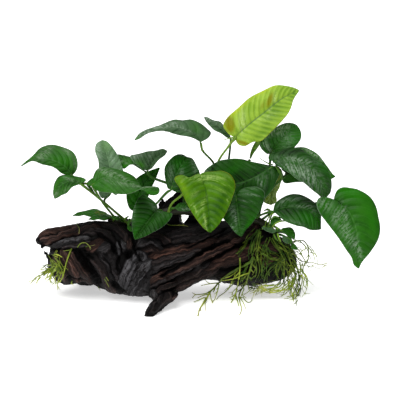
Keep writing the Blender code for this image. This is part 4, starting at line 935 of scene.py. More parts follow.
def leaf_material(kind):
    """Leaf tissue: mottled green with veins along the pressed-in ones, soft patches partly of painted shade,
    painted light on the cushions between veins, painted sheen in streaks and a waxy shine.
    """
    green = GREENS[kind]
    nodes = Nodes("leaf_" + kind)
    side, along, phase = nodes.parts(nodes.vector("blade"))
    painted_sheen, dark, lush = nodes.parts(nodes.vector("tone"))
    shade_and_specks = nodes.parts(nodes.vector("shade_and_specks"))[0]
    place = nodes.place()
    mottle = nodes.noise(place, LEAF_MOTTLE, 4, 0.6)
    fine = nodes.noise(place, LEAF_FINE, 2, 0.5)
    spread = nodes.math("ABSOLUTE", side)
    off_vein = nodes.math("PINGPONG", phase, 0.5)
    stretched = nodes.times(phase, LEAF_STREAKS)
    stripes = nodes.add("ShaderNodeCombineXYZ", {"X": stretched, "Y": side, "Z": along})
    streaks = nodes.noise(stripes.outputs[0], LEAF_STREAKS, 3, 0.6)
    colour = nodes.mix(nodes.between(mottle, 0.3, 0.7), green.shaded, green.lit)
    # Dark patches: partly painted shade in folds and under other leaves, partly the blade's own darker green
    colour = nodes.mix(nodes.times(dark, nodes.between(streaks, 0.2, 0.5)), colour, green.dark)
    colour = nodes.mix(lush, colour, green.lush)
    # Painted light: the cushions between the veins are painted towards the lit green
    colour = nodes.mix(nodes.times(nodes.between(off_vein, 0.08, 0.45), 0.35), colour, green.lit)
    vein = nodes.times(nodes.between(off_vein, 0.1, 0.0), nodes.between(spread, 1.0, 0.3))
    colour = nodes.mix(nodes.times(vein, 0.35), colour, green.veins)
    colour = nodes.mix(nodes.times(nodes.between(spread, 0.05, 0.015), 0.8), colour, green.veins)
    # Painted sheen: streaks of painted reflection mixed into the colour
    reflection_streaks = nodes.between(nodes.plus(streaks, nodes.times(fine, 0.5)), 0.62, 0.9)
    colour = nodes.mix(nodes.times(painted_sheen, reflection_streaks), colour, green.painted_sheen)
    # The olive patches on the yellow leaf are painted shade; on other leaves the same tone gives brown
    # specks
    if kind == "yellow":
        colour = nodes.mix(nodes.between(shade_and_specks, 0.15, 0.75), colour, PAINTED_OLIVE_SHADE)
    else:
        specked = nodes.times(shade_and_specks, nodes.between(fine, 0.45, 0.6))
        colour = nodes.mix(specked, colour, BROWN_SPECKS)
    # The rim: the blade's own yellow on fresh and yellow leaves, a painted highlight in the sheen colour on
    # the others
    rim = YELLOW_RIM if kind in ("fresh", "yellow") else green.painted_sheen
    colour = nodes.mix(nodes.times(nodes.between(spread, 0.97, 0.995), 0.4), colour, rim)
    nodes.put(nodes.shader.inputs["Base Color"], colour)
    rough = nodes.between(streaks, 0.2, 0.8, green.roughness - 0.06, green.roughness + 0.12)
    nodes.put(nodes.shader.inputs["Roughness"], rough)
    nodes.shader.inputs["Specular IOR Level"].default_value = 0.09
    small = nodes.math("PINGPONG", nodes.times(phase, 4.0), 0.5)
    height = nodes.plus(nodes.times(fine, 0.5), nodes.times(small, 0.25))
    quilted = nodes.times(nodes.between(off_vein, 0.0, 0.35), 1.1)
    nodes.bump(nodes.plus(height, quilted), LEAF_BUMP, 0.7)
    return nodes.material


def stalk_material():
    """Smooth stalk skin, yellower at the joint under each blade, with fine lengthwise lines."""
    nodes = Nodes("stalk_skin")
    share, tint, brown = nodes.parts(nodes.vector("stalk"))
    mottle = nodes.noise(nodes.place(), STALK_MOTTLE, 3)
    colour = nodes.mix(nodes.between(mottle, 0.3, 0.7), *STALK_GREENS)
    colour = nodes.mix(tint, colour, STALK_YELLOW)
    colour = nodes.mix(nodes.between(share, 0.9, 1.0, 0.0, 0.6), colour, JOINT_YELLOW)
    bark = nodes.mix(nodes.between(mottle, 0.35, 0.65), *CREEPER_BROWNS)
    nodes.put(nodes.shader.inputs["Base Color"], nodes.mix(brown, colour, bark))
    nodes.shader.inputs["Roughness"].default_value = 0.38
    nodes.shader.inputs["Specular IOR Level"].default_value = 0.12
    lines = nodes.noise(nodes.scaled(nodes.place(), STALK_LINES), 1.0, 2)
    nodes.bump(lines, STALK_BUMP, 0.4)
    return nodes.material


def wood_material():
    """Waterlogged wood: grooves, splits and hollows painted near-black as shade, brown ridges, redder and
    greyer patches, fibres on the grain.
    """
    nodes = Nodes("wet_driftwood")
    grain = nodes.vector("grain")
    hollow_shade, red, grey = nodes.parts(nodes.vector("weathering_and_shade"))
    fibres = nodes.noise(nodes.scaled(grain, WOOD_FIBRES), 1.0, 4, 0.7, 0.3)
    strips = nodes.noise(nodes.scaled(grain, WOOD_STRIPS), 1.0, 4, 0.65, 0.3)
    broad = nodes.noise(nodes.scaled(grain, WOOD_BROAD), 1.0, 3, 0.6)
    specks = nodes.noise(nodes.place(), WOOD_SPECKS, 3, 0.6)
    coarse = nodes.between(strips, 0.46, 0.62, 0.12)
    thread = nodes.times(coarse, nodes.between(fibres, 0.35, 0.6, 0.3))
    colour = nodes.mix(thread, *PLAIN_WOOD)
    warm = nodes.mix(thread, *WARM_WOOD)
    cold = nodes.mix(thread, *COLD_WOOD)
    redness = nodes.math("POWER", red, 1.8)
    warmth = nodes.times(redness, nodes.between(broad, 0.3, 0.6, 0.3), clamp=True)
    colour = nodes.mix(warmth, colour, warm)
    colour = nodes.mix(nodes.times(grey, nodes.between(specks, 0.3, 0.55)), colour, cold)
    # Painted shade: the hollows go near-black
    colour = nodes.mix(nodes.between(hollow_shade, 0.1, 1.2, 0.0, 0.97), colour, HOLLOW_SHADE)
    nodes.put(nodes.shader.inputs["Base Color"], colour)
    nodes.put(nodes.shader.inputs["Roughness"], nodes.between(fibres, 0.2, 0.8, 0.7, 0.4))
    nodes.shader.inputs["Specular IOR Level"].default_value = 0.07
    nodes.bump(nodes.plus(fibres, nodes.times(strips, 1.5)), WOOD_BUMP, 1.0)
    return nodes.material


def moss_material():
    """Strands that go from deep green inside the tuft to yellow-green and dried tan at their tips; the
    yellow-green is partly painted light shining through the low strands.
    """
    nodes = Nodes("moss_strands")
    share, yellow, dried = nodes.parts(nodes.vector("strand"))
    mottle = nodes.noise(nodes.place(), MOSS_MOTTLE, 3)
    green = nodes.mix(nodes.between(mottle, 0.3, 0.7), *MOSS_GREENS)
    # The yellow-green is partly the moss's own, partly painted light shining through the low strands
    ripe_and_backlit = nodes.mix(nodes.between(mottle, 0.3, 0.7), *RIPE_AND_BACKLIT_MOSS)
    tone = nodes.times(yellow, nodes.between(share, 0.0, 0.8, 0.55, 1.15), clamp=True)
    colour = nodes.mix(tone, green, ripe_and_backlit)
    dry = nodes.times(dried, nodes.between(share, 0.2, 1.0), clamp=True)
    colour = nodes.mix(dry, colour, DRY_MOSS)
    nodes.put(nodes.shader.inputs["Base Color"], colour)
    nodes.shader.inputs["Roughness"].default_value = 0.45
    nodes.shader.inputs["Specular IOR Level"].default_value = 0.12
    return nodes.material


# Leaves


def beside(end, along, towards):
    """A point a little to the side of an end of a midrib, on the side of `towards`."""
    along = unit(along)
    offset = towards - end
    return end + unit(offset - along * np.dot(offset, along)) * END_WIDTH * MM


def sheet_normals(sheet, evening):
    """Unit normals of a grid of points, on its side that faces up, evened out over neighbouring points."""
    rows, columns = sheet.shape[:2]
    normals = np.cross(np.gradient(sheet, axis=0), np.gradient(sheet, axis=1))
    normals /= np.maximum(np.linalg.norm(normals, axis=2, keepdims=True), TINY)
    for _ in range(evening):
        padded = np.pad(normals, ((1, 1), (1, 1), (0, 0)), mode="edge")
        normals = sum(padded[r : r + rows, c : c + columns] for r in range(3) for c in range(3))
        normals /= np.maximum(np.linalg.norm(normals, axis=2, keepdims=True), TINY)
    return normals if normals[..., 2].sum() > 0 else -normals


def blade_sheet(leaf, rows, columns, relief, veins, seed):
    """The middle surface with its veins pressed in, and the side, share and vein phase of its points."""
    base, tip = placed(leaf.midrib[0]), placed(leaf.midrib[-1])
    steps = np.linspace(0, 1, rows + 1)
    shares = (1 - CROWDED_ROWS) * steps + CROWDED_ROWS * (0.5 - 0.5 * np.cos(np.pi * steps))
    middle = smooth([placed(p) for p in leaf.midrib], shares)
    sheet = np.zeros((rows + 1, 2 * columns + 1, 3))
    sides = np.linspace(-1, 1, 2 * columns + 1)
    for sign, edge in ((-1, leaf.one_edge), (1, leaf.other_edge)):
        drawn = [placed(p) for p in edge]
        drawn.insert(0, base + unit(drawn[0] - base) * END_WIDTH * MM)
        drawn.append(beside(tip, middle[-1] - middle[-2], drawn[-1]))
        rim = smooth(drawn, shares)
        for c in range(columns + 1):
            share = c / columns
            sheet[:, columns + sign * c] = middle * (1 - share) + rim * share
    normals = sheet_normals(sheet, evening=3)
    widths = np.empty((rows + 1, 2 * columns + 1))
    widths[:, :columns] = np.linalg.norm(sheet[:, :1] - sheet[:, columns : columns + 1], axis=2)
    widths[:, columns:] = np.linalg.norm(sheet[:, -1:] - sheet[:, columns : columns + 1], axis=2)
    length = np.linalg.norm(np.diff(middle, axis=0), axis=1).sum()
    spread = np.abs(sides)[None, :]
    along = shares[:, None] * np.ones_like(spread)
    arch = BLADE_ARCH * 4 * spread * (1 - spread) * widths
    phase = veins * (along - VEIN_SWEEP * widths / length * spread**VEIN_BEND)
    phase = phase + VEIN_STAGGER * (sides[None, :] > 0)
    ends = np.sin(np.pi * np.clip(along, *RELIEF_ENDS)) ** RELIEF_END_ROUNDING
    fade = np.clip(widths / (RELIEF_WIDTH * MM), 0, 1) * ends
    cushion = CUSHION_HEIGHT * np.abs(np.sin(np.pi * phase)) ** CUSHION_ROUNDING - CUSHION_DROP
    cushion = cushion * relief * MM * fade * np.clip(spread / CUSHION_START, 0, 1)
    cushion = cushion * (1 - CUSHION_FADE * spread**2)
    groove = -MIDRIB_GROOVE * MM * np.exp(-((spread * widths / (GROOVE_WIDTH * MM)) ** 2))
    groove = groove * np.clip(widths / (GROOVED_WIDTH * MM), 0, 1)
    turns = WAVES_ALONG * along + WAVE_STAGGER * seed
    wave = np.sin(2 * np.pi * turns + WAVE_OFFSET * np.sign(sides)[None, :])
    wave = WAVE_HEIGHT * MM * fade * spread**2 * wave
    sheet = sheet + normals * (arch + cushion + groove + wave)[..., None]
    kept = np.stack([np.broadcast_to(sides[None, :], phase.shape), along, phase], axis=2)
    return sheet, kept


def tones_at(name, seen):
    """How strongly each patch tone shows at sheet points of a leaf."""
    tones = {tone: np.zeros(len(seen)) for tone in ("painted_sheen", "dark", "lush", "olive")}
    for tone, right, down, half_length, half_width, turn, strength in PATCHES.get(name, ()):
        turn = math.radians(turn)
        right, down = (seen - (right, down)).T
        ahead = right * math.cos(turn) + down * math.sin(turn)
        aside = down * math.cos(turn) - right * math.sin(turn)
        tones[tone] += strength * np.exp(-((ahead / half_length) ** 2) - (aside / half_width) ** 2)
    return {tone: np.clip(value, 0, 1) for tone, value in tones.items()}


def blade(name, leaf, look, material, seed):
    """A leaf blade in place of its solid."""
    rows = SMALL_BLADE_ROWS if leaf.small else BLADE_ROWS
    columns = SMALL_BLADE_COLUMNS if leaf.small else BLADE_COLUMNS
    sheet, kept = blade_sheet(leaf, rows, columns, look[1], look[2], seed)
    normals = sheet_normals(sheet, evening=2)
    spread = np.abs(np.linspace(-1, 1, 2 * columns + 1))
    half = (RIM_THICKNESS + (BLADE_THICKNESS - RIM_THICKNESS) * (1 - spread**2)) / 2
    half = np.broadcast_to(half, sheet.shape[:2]).copy()
    half[[0, -1]] = RIM_THICKNESS / 2
    under = half.copy()
    under[1:-1] += KEEL_HEIGHT * np.exp(-((spread / KEEL_SPREAD) ** 2))
    top = sheet + normals * (half * MM)[..., None]
    bottom = sheet - normals * (under * MM)[..., None]
    wide = 2 * columns + 1
    count = (rows + 1) * wide
    faces = []
    for r in range(rows):
        for c in range(wide - 1):
            quad = (r * wide + c, r * wide + c + 1, (r + 1) * wide + c + 1, (r + 1) * wide + c)
            faces.append(quad)
            faces.append(tuple(count + v for v in quad[::-1]))
    border = list(range(wide)) + [r * wide + wide - 1 for r in range(1, rows + 1)]
    border += [rows * wide + c for c in range(wide - 2, -1, -1)]
    border += [r * wide for r in range(rows - 1, 0, -1)]
    for here, after in zip(border, border[1:] + border[:1]):
        faces.append((here, count + here, count + after, after))
    points = np.vstack([top.reshape(-1, 3), bottom.reshape(-1, 3)])
    thing = mesh_object(name + "_blade", (points, faces), material)
    store(thing.data, "blade", np.vstack([kept.reshape(-1, 3)] * 2))
    tones = tones_at(name, drawn_at(points))
    store(thing.data, "tone", np.column_stack([tones["painted_sheen"], tones["dark"], tones["lush"]]))
    store(thing.data, "shade_and_specks", np.column_stack([tones["olive"]] * 3))
    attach(thing, "root")
    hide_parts(name)
    return thing


# Stalks and creeping stems


def stalk_tube(drawn, tint, midrib=None):
    """A stalk's shape with its share of length and tint: flared at its foot, and running into the midrib."""
    path = [placed(p) for p in drawn]
    radii = [STALK_FOOT_RADIUS] + [STALK_RADIUS] * (len(path) - 2) + [STALK_HEAD_RADIUS]
    if midrib:
        under = np.array((0, 0, -BLADE_THICKNESS * MM))
        base, after = placed(midrib[0]), placed(midrib[1])
        path += [base + under * 0.5, base + unit(after - base) * STALK_RUN * MM + under]
        radii += STALK_RUN_RADII
    steps = np.linspace(0, 1, STALK_SEGMENTS + 1)
    swept = smooth([(*p, r * MM) for p, r in zip(path, radii)], steps)
    shape = tube_shape(swept[:, :3], swept[:, 3], swept[:, 3], STALK_SIDES, up=STALK_UP)
    count = len(shape[0])
    return shape, np.column_stack([np.repeat(steps, STALK_SIDES), np.full(count, tint), np.zeros(count)])


# How yellow a stalk is, where it isn't green
YELLOW_STALKS = {
    "leaf_top_yellow": 0.9,
    "leaf_front_light": 0.8,
    "leaf_far_left": 0.25,
    "leaf_left_low": 0.35,
    "leaf_left_broad": 0.2,
    "leaf_top_left": 0.1,
    "leaf_small_right": 0.5,
}
ROLLED_STALK_YELLOW = 0.2
SHEATH_FLATNESS = 0.6
SHEATH_SHARE = 0.3

# Skin of the creeping stems: knobs and rings as shares of the radius, and how many there are
RHIZOME_TAPER = 0.5
KNOBS = 3
KNOB_TURN = 9
KNOB_DEPTH = 0.06
RINGS = 11
RING_DEPTH = 0.05

# The edge of the rolled leaf: where it is, in radians, and how far it stands off, as a share of the radius
ROLL_START = 1.2
ROLL_TURN = 2.5
ROLL_FADE = 0.7
ROLL_STEP = 0.22

# Sheaths, bracts and bare side stems: how yellow each is, and its line as (right, down, away, radius)
SHEATHS = {
    "rhizome_left": (
        (0.3, ((124.5, 222, 0, 0.8), (125.5, 218.5, -3, 1.6), (128.5, 216.4, -4, 1.0))),
        (0.25, ((129, 225, -8, 1.2), (130.5, 221, -8, 1.8), (133, 217.5, -8, 0.8))),
        (0.45, ((91.5, 185.2, -8, 1.0), (86, 183.6, -9, 1.6), (80.5, 183.8, -12, 1.4))),
        (0.3, ((113, 221, 4, 1.6), (115.5, 217.8, 4, 2.2), (119.5, 217.6, 4, 0.9))),
    ),
    "rhizome_middle": (
        (1.0, ((224, 139.8, 9, 0.4), (229, 138.4, 8, 0.9), (234.5, 137.4, 6, 1.6))),
        (0.8, ((233.4, 141.6, 5, 1.3), (234.8, 139, 5, 2.0), (236.5, 136.6, 5.5, 1.2))),
        (0.5, ((204, 151.4, 7.6, 1.0), (202.3, 150, 7.6, 1.6), (201.3, 143.5, 7.4, 1.5))),
    ),
    "rhizome_right": (
        (0.5, ((258.6, 157.2, 14, 0.35), (263, 160.4, 12, 0.6), (268, 163.2, 9, 0.9),
               (272.5, 164.8, 6, 1.1))),
        (0.35, ((263.5, 211.4, 2, 0.5), (267, 209.4, 1, 1.7), (270.4, 211, -3, 0.9))),
        (0.9, ((264.6, 227, -8, 0.9), (266.6, 221, -9, 1.0), (270, 215.6, -10, 1.0),
               (273.5, 213, -10, 1.2))),
        (0.1, ((266.6, 228, -7, 1.0), (269.4, 220.5, -8, 1.0), (272.2, 214.6, -9, 0.9))),
        (0.45, ((269, 230, -12, 1.1), (269.2, 223, -12, 1.2), (270.2, 216, -11, 0.8))),
        (1.0, ((272.4, 227, -14, 1.2), (275.4, 223.4, -14, 1.5), (281, 221.2, -13, 1.4),
               (288, 221, -12, 0.7))),
        (0.3, ((270.5, 220, -13, 0.9), (274.5, 216.4, -13, 1.4), (278.5, 218, -12, 1.1),
               (282.5, 221.4, -11, 0.7))),
        (0.4, ((262, 229.5, -14, 0.8), (264, 226.6, -14, 1.7), (266.5, 229.5, -15, 1.2))),
        (0.35, ((273.6, 233.4, -24, 0.9), (275.2, 237.5, -25, 1.3), (278, 241.2, -26, 0.5))),
        (1.0, ((277.6, 233.2, -25, 1.2), (278.8, 237.5, -26, 1.6), (281, 241.8, -27, 0.5))),
        (0.3, ((283.2, 235, -28, 0.5), (284.4, 239, -29, 1.5), (289.5, 243.4, -29, 1.0))),
        (0.15, ((275.5, 166, -1, 1.2), (279.5, 170.5, 1, 3.0), (281.5, 177, 6, 2.6), (279.5, 184, 8, 1.0))),
    ),
}


def creeping_stem(name, material):
    """A creeping stem with its stalks, in place of its solid."""
    steps = np.linspace(0, 1, RHIZOME_STEPS)
    path = smooth([placed(p) for p in RHIZOMES[name]], steps)
    radii = RHIZOME_RADIUS * MM * np.clip(1 - np.abs(2 * steps - 1) ** 4 * RHIZOME_TAPER, 0, 1)

    def knobs_and_rings(angles, share):
        knobs = KNOB_DEPTH * np.cos(KNOBS * angles + KNOB_TURN * share)
        return knobs + RING_DEPTH * math.cos(2 * math.pi * RINGS * share)

    shape = tube_shape(path, radii, radii, RHIZOME_SIDES, swell=knobs_and_rings)
    shapes, kept = [shape], [np.tile((0.0, 0.0, 1.0), (len(shape[0]), 1))]
    for leaf_name, leaf in LEAVES.items():
        if leaf.rhizome == name:
            shape, values = stalk_tube(leaf.stalk, YELLOW_STALKS.get(leaf_name, 0.0), leaf.midrib)
            shapes.append(shape)
            kept.append(values)
    if name == "rhizome_middle":
        shape, values = stalk_tube(ROLLED_STALK, ROLLED_STALK_YELLOW)
        shapes.append(shape)
        kept.append(values)
    for tint, drawn in SHEATHS.get(name, ()):
        swept = sized(drawn, SHEATH_STEPS)
        radii = swept[:, 3]
        shape = tube_shape(swept[:, :3], radii, SHEATH_FLATNESS * radii, SHEATH_SIDES, up=STALK_UP)
        shapes.append(shape)
        kept.append(np.tile((SHEATH_SHARE, tint, 0.0), (len(shape[0]), 1)))
    thing = mesh_object(name + "_stems", joined_shapes(shapes), material)
    store(thing.data, "stalk", np.vstack(kept))
    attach(thing, "root")
    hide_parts(name)
    return thing


def rolled_leaf(material):
    """The young leaf, still rolled up, with the edge of its roll winding round it."""
    swept = sized(ROLLED_LEAF, ROLLED_STEPS)

    def rolled_edge(angles, share):
        behind_edge = np.mod(angles - ROLL_START - ROLL_TURN * share, 2 * np.pi)
        return ROLL_STEP * np.exp(-((behind_edge / ROLL_FADE) ** 2))

    radii = swept[:, 3]
    shape = tube_shape(swept[:, :3], radii, radii, ROLLED_SIDES, up=(0, 1, 0), swell=rolled_edge)
    thing = mesh_object("rolled_leaf", shape, material)
    angle = np.tile(np.arange(ROLLED_SIDES) / ROLLED_SIDES, ROLLED_STEPS)
    share = np.repeat(np.linspace(0, 1, ROLLED_STEPS), ROLLED_SIDES)
    store(thing.data, "blade", np.column_stack([0.5 + 0 * angle, share, 3 * share + angle]))
    # A little painted sheen, and darker
    store(thing.data, "tone", np.column_stack([0.2 + 0 * angle, 0.4 + 0 * angle, 0 * angle]))
    store(thing.data, "shade_and_specks", np.zeros((len(angle), 3)))
    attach(thing, "root")
    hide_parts("leaf_rolled")


# Driftwood

# Bundles of fibres that the weathered wood is made of: the drawn line, half width and height in
# millimetres, and how red and how grey they are. Where they cross, the higher one shows
BUNDLES = (
    (((36, 235), (48, 231.5), (60, 229), (76, 226)), 3.0, 1.6, 1.35, 0.2),
    (((41, 240), (52, 237), (64, 232), (78, 227)), 2.4, 1.9, 1.1, 0.35),
    (((44, 244), (56, 239.5), (70, 234), (86, 229), (102, 227)), 2.6, 2.0, 0.6, 0.1),
    (((52, 246), (62, 242.5), (74, 239.5), (88, 238.5)), 2.8, 1.9, 0.05, 0.75),
    (((62, 248), (76, 245), (92, 243.5)), 2.4, 1.6, 0.35, 0.45),
    (((78, 232), (94, 231), (108, 235), (114, 243)), 3.2, 2.0, 0.2, 0.2),
    (((84, 224), (100, 223.5), (114, 225), (124, 232), (128, 241)), 3.4, 2.4, 0.2, 0.15),
    (((88, 249), (98, 243), (103, 240)), 4.0, 2.2, 0.85, 0.05),
    (((98, 250), (107, 246), (111, 243)), 4.6, 2.0, 0.15, 0.55),
    (((55, 254), (60, 266), (66, 281)), 4.5, 1.6, 0.75, 0.35),
    (((64, 252), (70, 264), (78, 279)), 4.5, 2.2, 0.8, 0.2),
    (((72, 253), (79, 264), (86, 276), (91, 283)), 4.2, 2.8, 0.75, 0.2),
    (((92, 258), (100, 269), (108, 283), (113, 291)), 4.2, 2.6, 0.4, 0.3),
    (((100, 254), (108, 264), (114, 277), (120, 292)), 3.4, 2.0, 0.15, 0.4),
    (((110, 252), (114, 262), (116, 271)), 3.6, 2.4, 0.25, 0.45),
    (((116, 243), (118.5, 248), (119, 254)), 2.2, 2.2, 0.0, 1.0),
    (((122.5, 241), (124.5, 246), (124, 251)), 2.2, 2.2, 0.0, 0.9),
    (((129, 236), (130, 243), (128.5, 249)), 2.6, 1.6, 0.5, 0.1),
    (((121, 291), (126, 277), (134, 264), (141, 256)), 6.0, 3.6, 0.0, 1.0),
    (((129, 294), (135, 281), (143, 269), (150, 261)), 5.0, 3.2, 0.0, 0.85),
    (((139, 297), (144, 286), (151, 276), (158, 268)), 4.4, 2.4, 0.1, 0.6),
    (((140, 238), (146, 235), (156, 235), (165, 239), (170, 245)), 3.0, 1.9, 0.35, 0.2),
    (((137, 247), (142, 243), (150, 241), (158, 244), (162, 249)), 2.6, 1.8, 0.1, 0.5),
    (((142, 252), (150, 248), (157, 251), (164, 256)), 2.8, 1.8, 0.45, 0.2),
    (((150, 257), (166, 252), (182, 249), (200, 245), (216, 240)), 3.4, 2.2, 0.75, 0.0),
    (((148, 264), (166, 258), (184, 254), (200, 249)), 3.0, 2.0, 0.35, 0.3),
    (((150, 271), (164, 265), (180, 259), (194, 254)), 2.6, 1.9, 0.3, 0.5),
    (((150, 281), (166, 274), (184, 266), (200, 259), (216, 251), (234, 245)), 3.2, 2.6, 0.75, 0.1),
    (((152, 287), (170, 278), (190, 270), (208, 263)), 2.6, 2.1, 0.3, 0.35),
    (((154, 292), (172, 284), (188, 277), (202, 270)), 2.4, 1.9, 0.45, 0.2),
    (((176, 290), (192, 282), (206, 274), (222, 268), (240, 264)), 2.6, 1.9, 0.4, 0.2),
    (((206, 271), (222, 264), (240, 258), (256, 254)), 3.4, 2.0, 0.55, 0.05),
    (((214, 261), (230, 254), (246, 249), (262, 247)), 3.6, 2.4, 0.8, 0.0),
    (((172, 243), (190, 240), (206, 236), (222, 231)), 3.2, 1.8, 0.2, 0.25),
    (((168, 235), (186, 232), (204, 229)), 3.4, 1.6, 0.15, 0.2),
    (((214, 245), (230, 237), (246, 228), (258, 221)), 3.0, 2.2, 0.45, 0.1),
    (((232, 243), (246, 235), (257, 227), (262, 223)), 2.6, 2.2, 0.7, 0.1),
    (((218, 277), (236, 277), (252, 276)), 4.0, 1.8, 0.1, 0.0),
    (((258, 262), (272, 260), (284, 264)), 5.0, 2.0, 0.8, 0.0),
    (((258, 249), (268, 247), (278, 251)), 4.0, 2.0, 0.6, 0.0),
    (((152, 290), (154, 297), (151, 304), (147, 311)), 3.0, 1.9, 0.05, 0.45),
    (((160, 291), (160, 298), (156, 305), (151, 313)), 2.6, 2.0, 0.2, 0.3),
    (((166, 290), (169, 296), (161, 304), (155, 309)), 2.4, 1.0, 0.3, 0.2),
    (((166, 301), (174, 297), (180, 294.5)), 2.0, 1.0, 0.5, 0.2),
)

# Splits and rotted hollows between them, which the colour also darkens as painted shade: the drawn line,
# half width and depth in millimetres
SPLITS = (
    (((76, 250), (82, 258), (89, 267), (95, 277), (99, 287)), 3.4, 6.5),
    (((84, 254), (92, 258), (95, 259)), 2.0, 4.5),
    (((40, 237.5), (52, 235), (62, 231), (74, 227.5)), 0.9, 2.4),
    (((46, 246.5), (58, 241.5), (70, 236.5), (86, 232)), 0.9, 2.4),
    (((52, 249.5), (64, 248.5), (76, 249), (90, 252)), 1.0, 2.6),
    (((96, 233), (108, 239), (113, 246), (114, 254)), 1.8, 4.5),
    (((113, 243), (113.5, 251)), 2.6, 5.0),
    (((120, 240), (121, 248), (121.5, 254)), 1.0, 3.0),
    (((119, 257), (117, 265), (119, 272)), 1.6, 4.0),
    (((126, 251), (129, 255), (131, 258)), 3.0, 5.5),
    (((137, 246), (140, 249)), 2.0, 4.0),
    (((112, 281), (118, 287), (126, 290)), 2.6, 5.0),
    (((64, 279), (74, 277.5), (86, 279)), 1.4, 3.0),
    (((101.5, 267), (101.9, 268)), 1.3, 3.0),
    (((104, 256), (110, 268), (115, 281)), 1.1, 2.6),
    (((152, 257), (152.4, 259)), 1.8, 3.5),
    (((132, 237), (134, 246), (138, 256), (142, 262)), 1.2, 3.0),
    (((160, 277), (172, 270), (186, 262), (200, 254), (214, 246), (230, 240)), 1.6, 4.5),
    (((200, 266), (212, 259), (226, 252), (240, 245), (252, 240)), 1.7, 4.0),
    (((150, 290), (166, 283), (182, 275), (198, 267)), 1.1, 3.2),
    (((150, 276), (162, 270), (176, 263)), 1.0, 2.6),
    (((186, 248), (200, 242), (214, 235), (228, 228)), 1.1, 2.8),
    (((160, 246), (176, 244), (192, 243)), 1.1, 2.8),
    (((218, 270), (234, 268), (250, 268)), 2.2, 4.0),
    (((156, 296), (166, 291), (176, 288)), 1.2, 3.0),
    (((153, 297), (157, 303), (152, 309)), 0.9, 2.0),
)


# Weathering of a limb: waves round it, how far they wind along it, and the smallest of them
LOBES = (2, 3, 5, 8)
LOBE_TURN = 2.5
LEAST_LOBE = 0.6

# Relief of the wood in millimetres. Scales are those of its noise, and ends are where it fades out
PLAIN_RELIEF = 5.0
PLAIN_SCALES = (0.028, 0.13, 0.10)
FIBRE_RELIEF = 1.5
FIBRE_SCALES = (0.06, 0.5, 0.5)
FIBRE_START = 40
LUMP_RELIEF = 1.4
LUMP_SCALE = 0.05
CREST_MIDDLE = 0.74
BUNDLE_FLANK = 1.25
BUNDLE_END = 6.0
BUNDLE_END_DROP = 1.5
BUNDLE_WAVE = 0.35
BUNDLE_WAVE_LENGTH = 5.0
BUNDLE_WAVE_OFFSET = 2.1
BUNDLE_TINT = 0.6
SPLIT_END = 5.0
ALONG_OFFSET = 37
ACROSS_OFFSET = 13
PLAIN_RED = 0.3
PLAIN_GREY = 0.2

# Two sizes of uneven shift of the drawn grain: how fine, how far in millimetres, and the layer of noise
SHIFTS = ((0.16, 1.6, 0), (0.5, 0.6, 9))


def limb_shape(stations, rings, sides, seed, depth, up):
    """A limb of wood through drawn stations (right, down, away, half height, half depth)."""
    drawn = [(*placed(s), s[3] * MM, s[4] * MM) for s in stations]
    swept = smooth(drawn, np.linspace(0, 1, rings))
    random = np.random.default_rng(seed)
    least, most = (0, -LOBE_TURN, LEAST_LOBE), (2 * math.pi, LOBE_TURN, 1)
    waves = [(k, *random.uniform(least, most)) for k in LOBES]

    def weathered(angles, share):
        total = sum(w / k**0.5 * np.cos(k * angles + phase + turn * share) for k, phase, turn, w in waves)
        return depth * total

    return tube_shape(swept[:, :3], swept[:, 3], swept[:, 4], sides, up, weathered)


def remeshed(thing, size):
    """The outer skin of overlapping shapes as one even mesh."""
    step = thing.modifiers.new("skin", "REMESH")
    step.mode = "VOXEL"
    step.voxel_size = size * MM
    ease = thing.modifiers.new("ease", "SMOOTH")
    ease.factor = 0.5
    ease.iterations = 4
    bpy.context.view_layer.update()
    result = bpy.data.meshes.new_from_object(thing.evaluated_get(bpy.context.evaluated_depsgraph_get()))
    thing.modifiers.clear()
    old = thing.data
    thing.data = result
    bpy.data.meshes.remove(old)
    result.shade_smooth()
    return thing


def along_line(points, line):
    """For sheet points, the signed distance to a drawn line, and where along it the nearest place is."""
    line = smooth([(*p, 0) for p in line], np.linspace(0, 1, LINE_STEPS))[:, :2]
    nearest = np.full(len(points), np.inf)
    signed, reach = np.zeros(len(points)), np.zeros(len(points))
    travelled = 0.0
    for a, b in zip(line, line[1:]):
        ahead = b - a
        length = np.linalg.norm(ahead)
        offset = points - a
        t = offset @ ahead / length**2
        held = np.clip(t, 0, 1)
        gap = np.linalg.norm(offset - held[:, None] * ahead, axis=1)
        closer = gap < nearest
        nearest[closer] = gap[closer]
        turn = ahead[0] * offset[:, 1] - ahead[1] * offset[:, 0]
        signed[closer] = (np.sign(turn) * gap)[closer]
        reach[closer] = (travelled + held * length)[closer]
        travelled += length
    return signed, reach, travelled


def ridged(point, octaves):
    """Noise with sharp crests, from 0 to 1."""
    total = sum(0.5**k * (1 - abs(noise.noise(Vector(point) * 2**k))) for k in range(octaves))
    return total / (2 - 0.5 ** (octaves - 1))


def driftwood_skin():
    """The whole log as one smooth skin."""
    shapes = [limb_shape(*limb, up=(0, 0, 1)) for limb in LYING_LIMBS]
    shapes += [limb_shape(*limb, up=(1, 0, 0)) for limb in STANDING_LIMBS]
    wood = mesh_object("driftwood", joined_shapes(shapes))
    return remeshed(wood, WOOD_GRAIN_SIZE)


def warp(seen):
    """A small uneven shift of sheet points, which frays straight and round outlines."""
    shifts = np.zeros((len(seen), 3))
    for fineness, distance, layer in SHIFTS:
        shifts += [noise.noise_vector(Vector((*p, layer)) * fineness) * distance for p in seen]
    return shifts[:, :2]


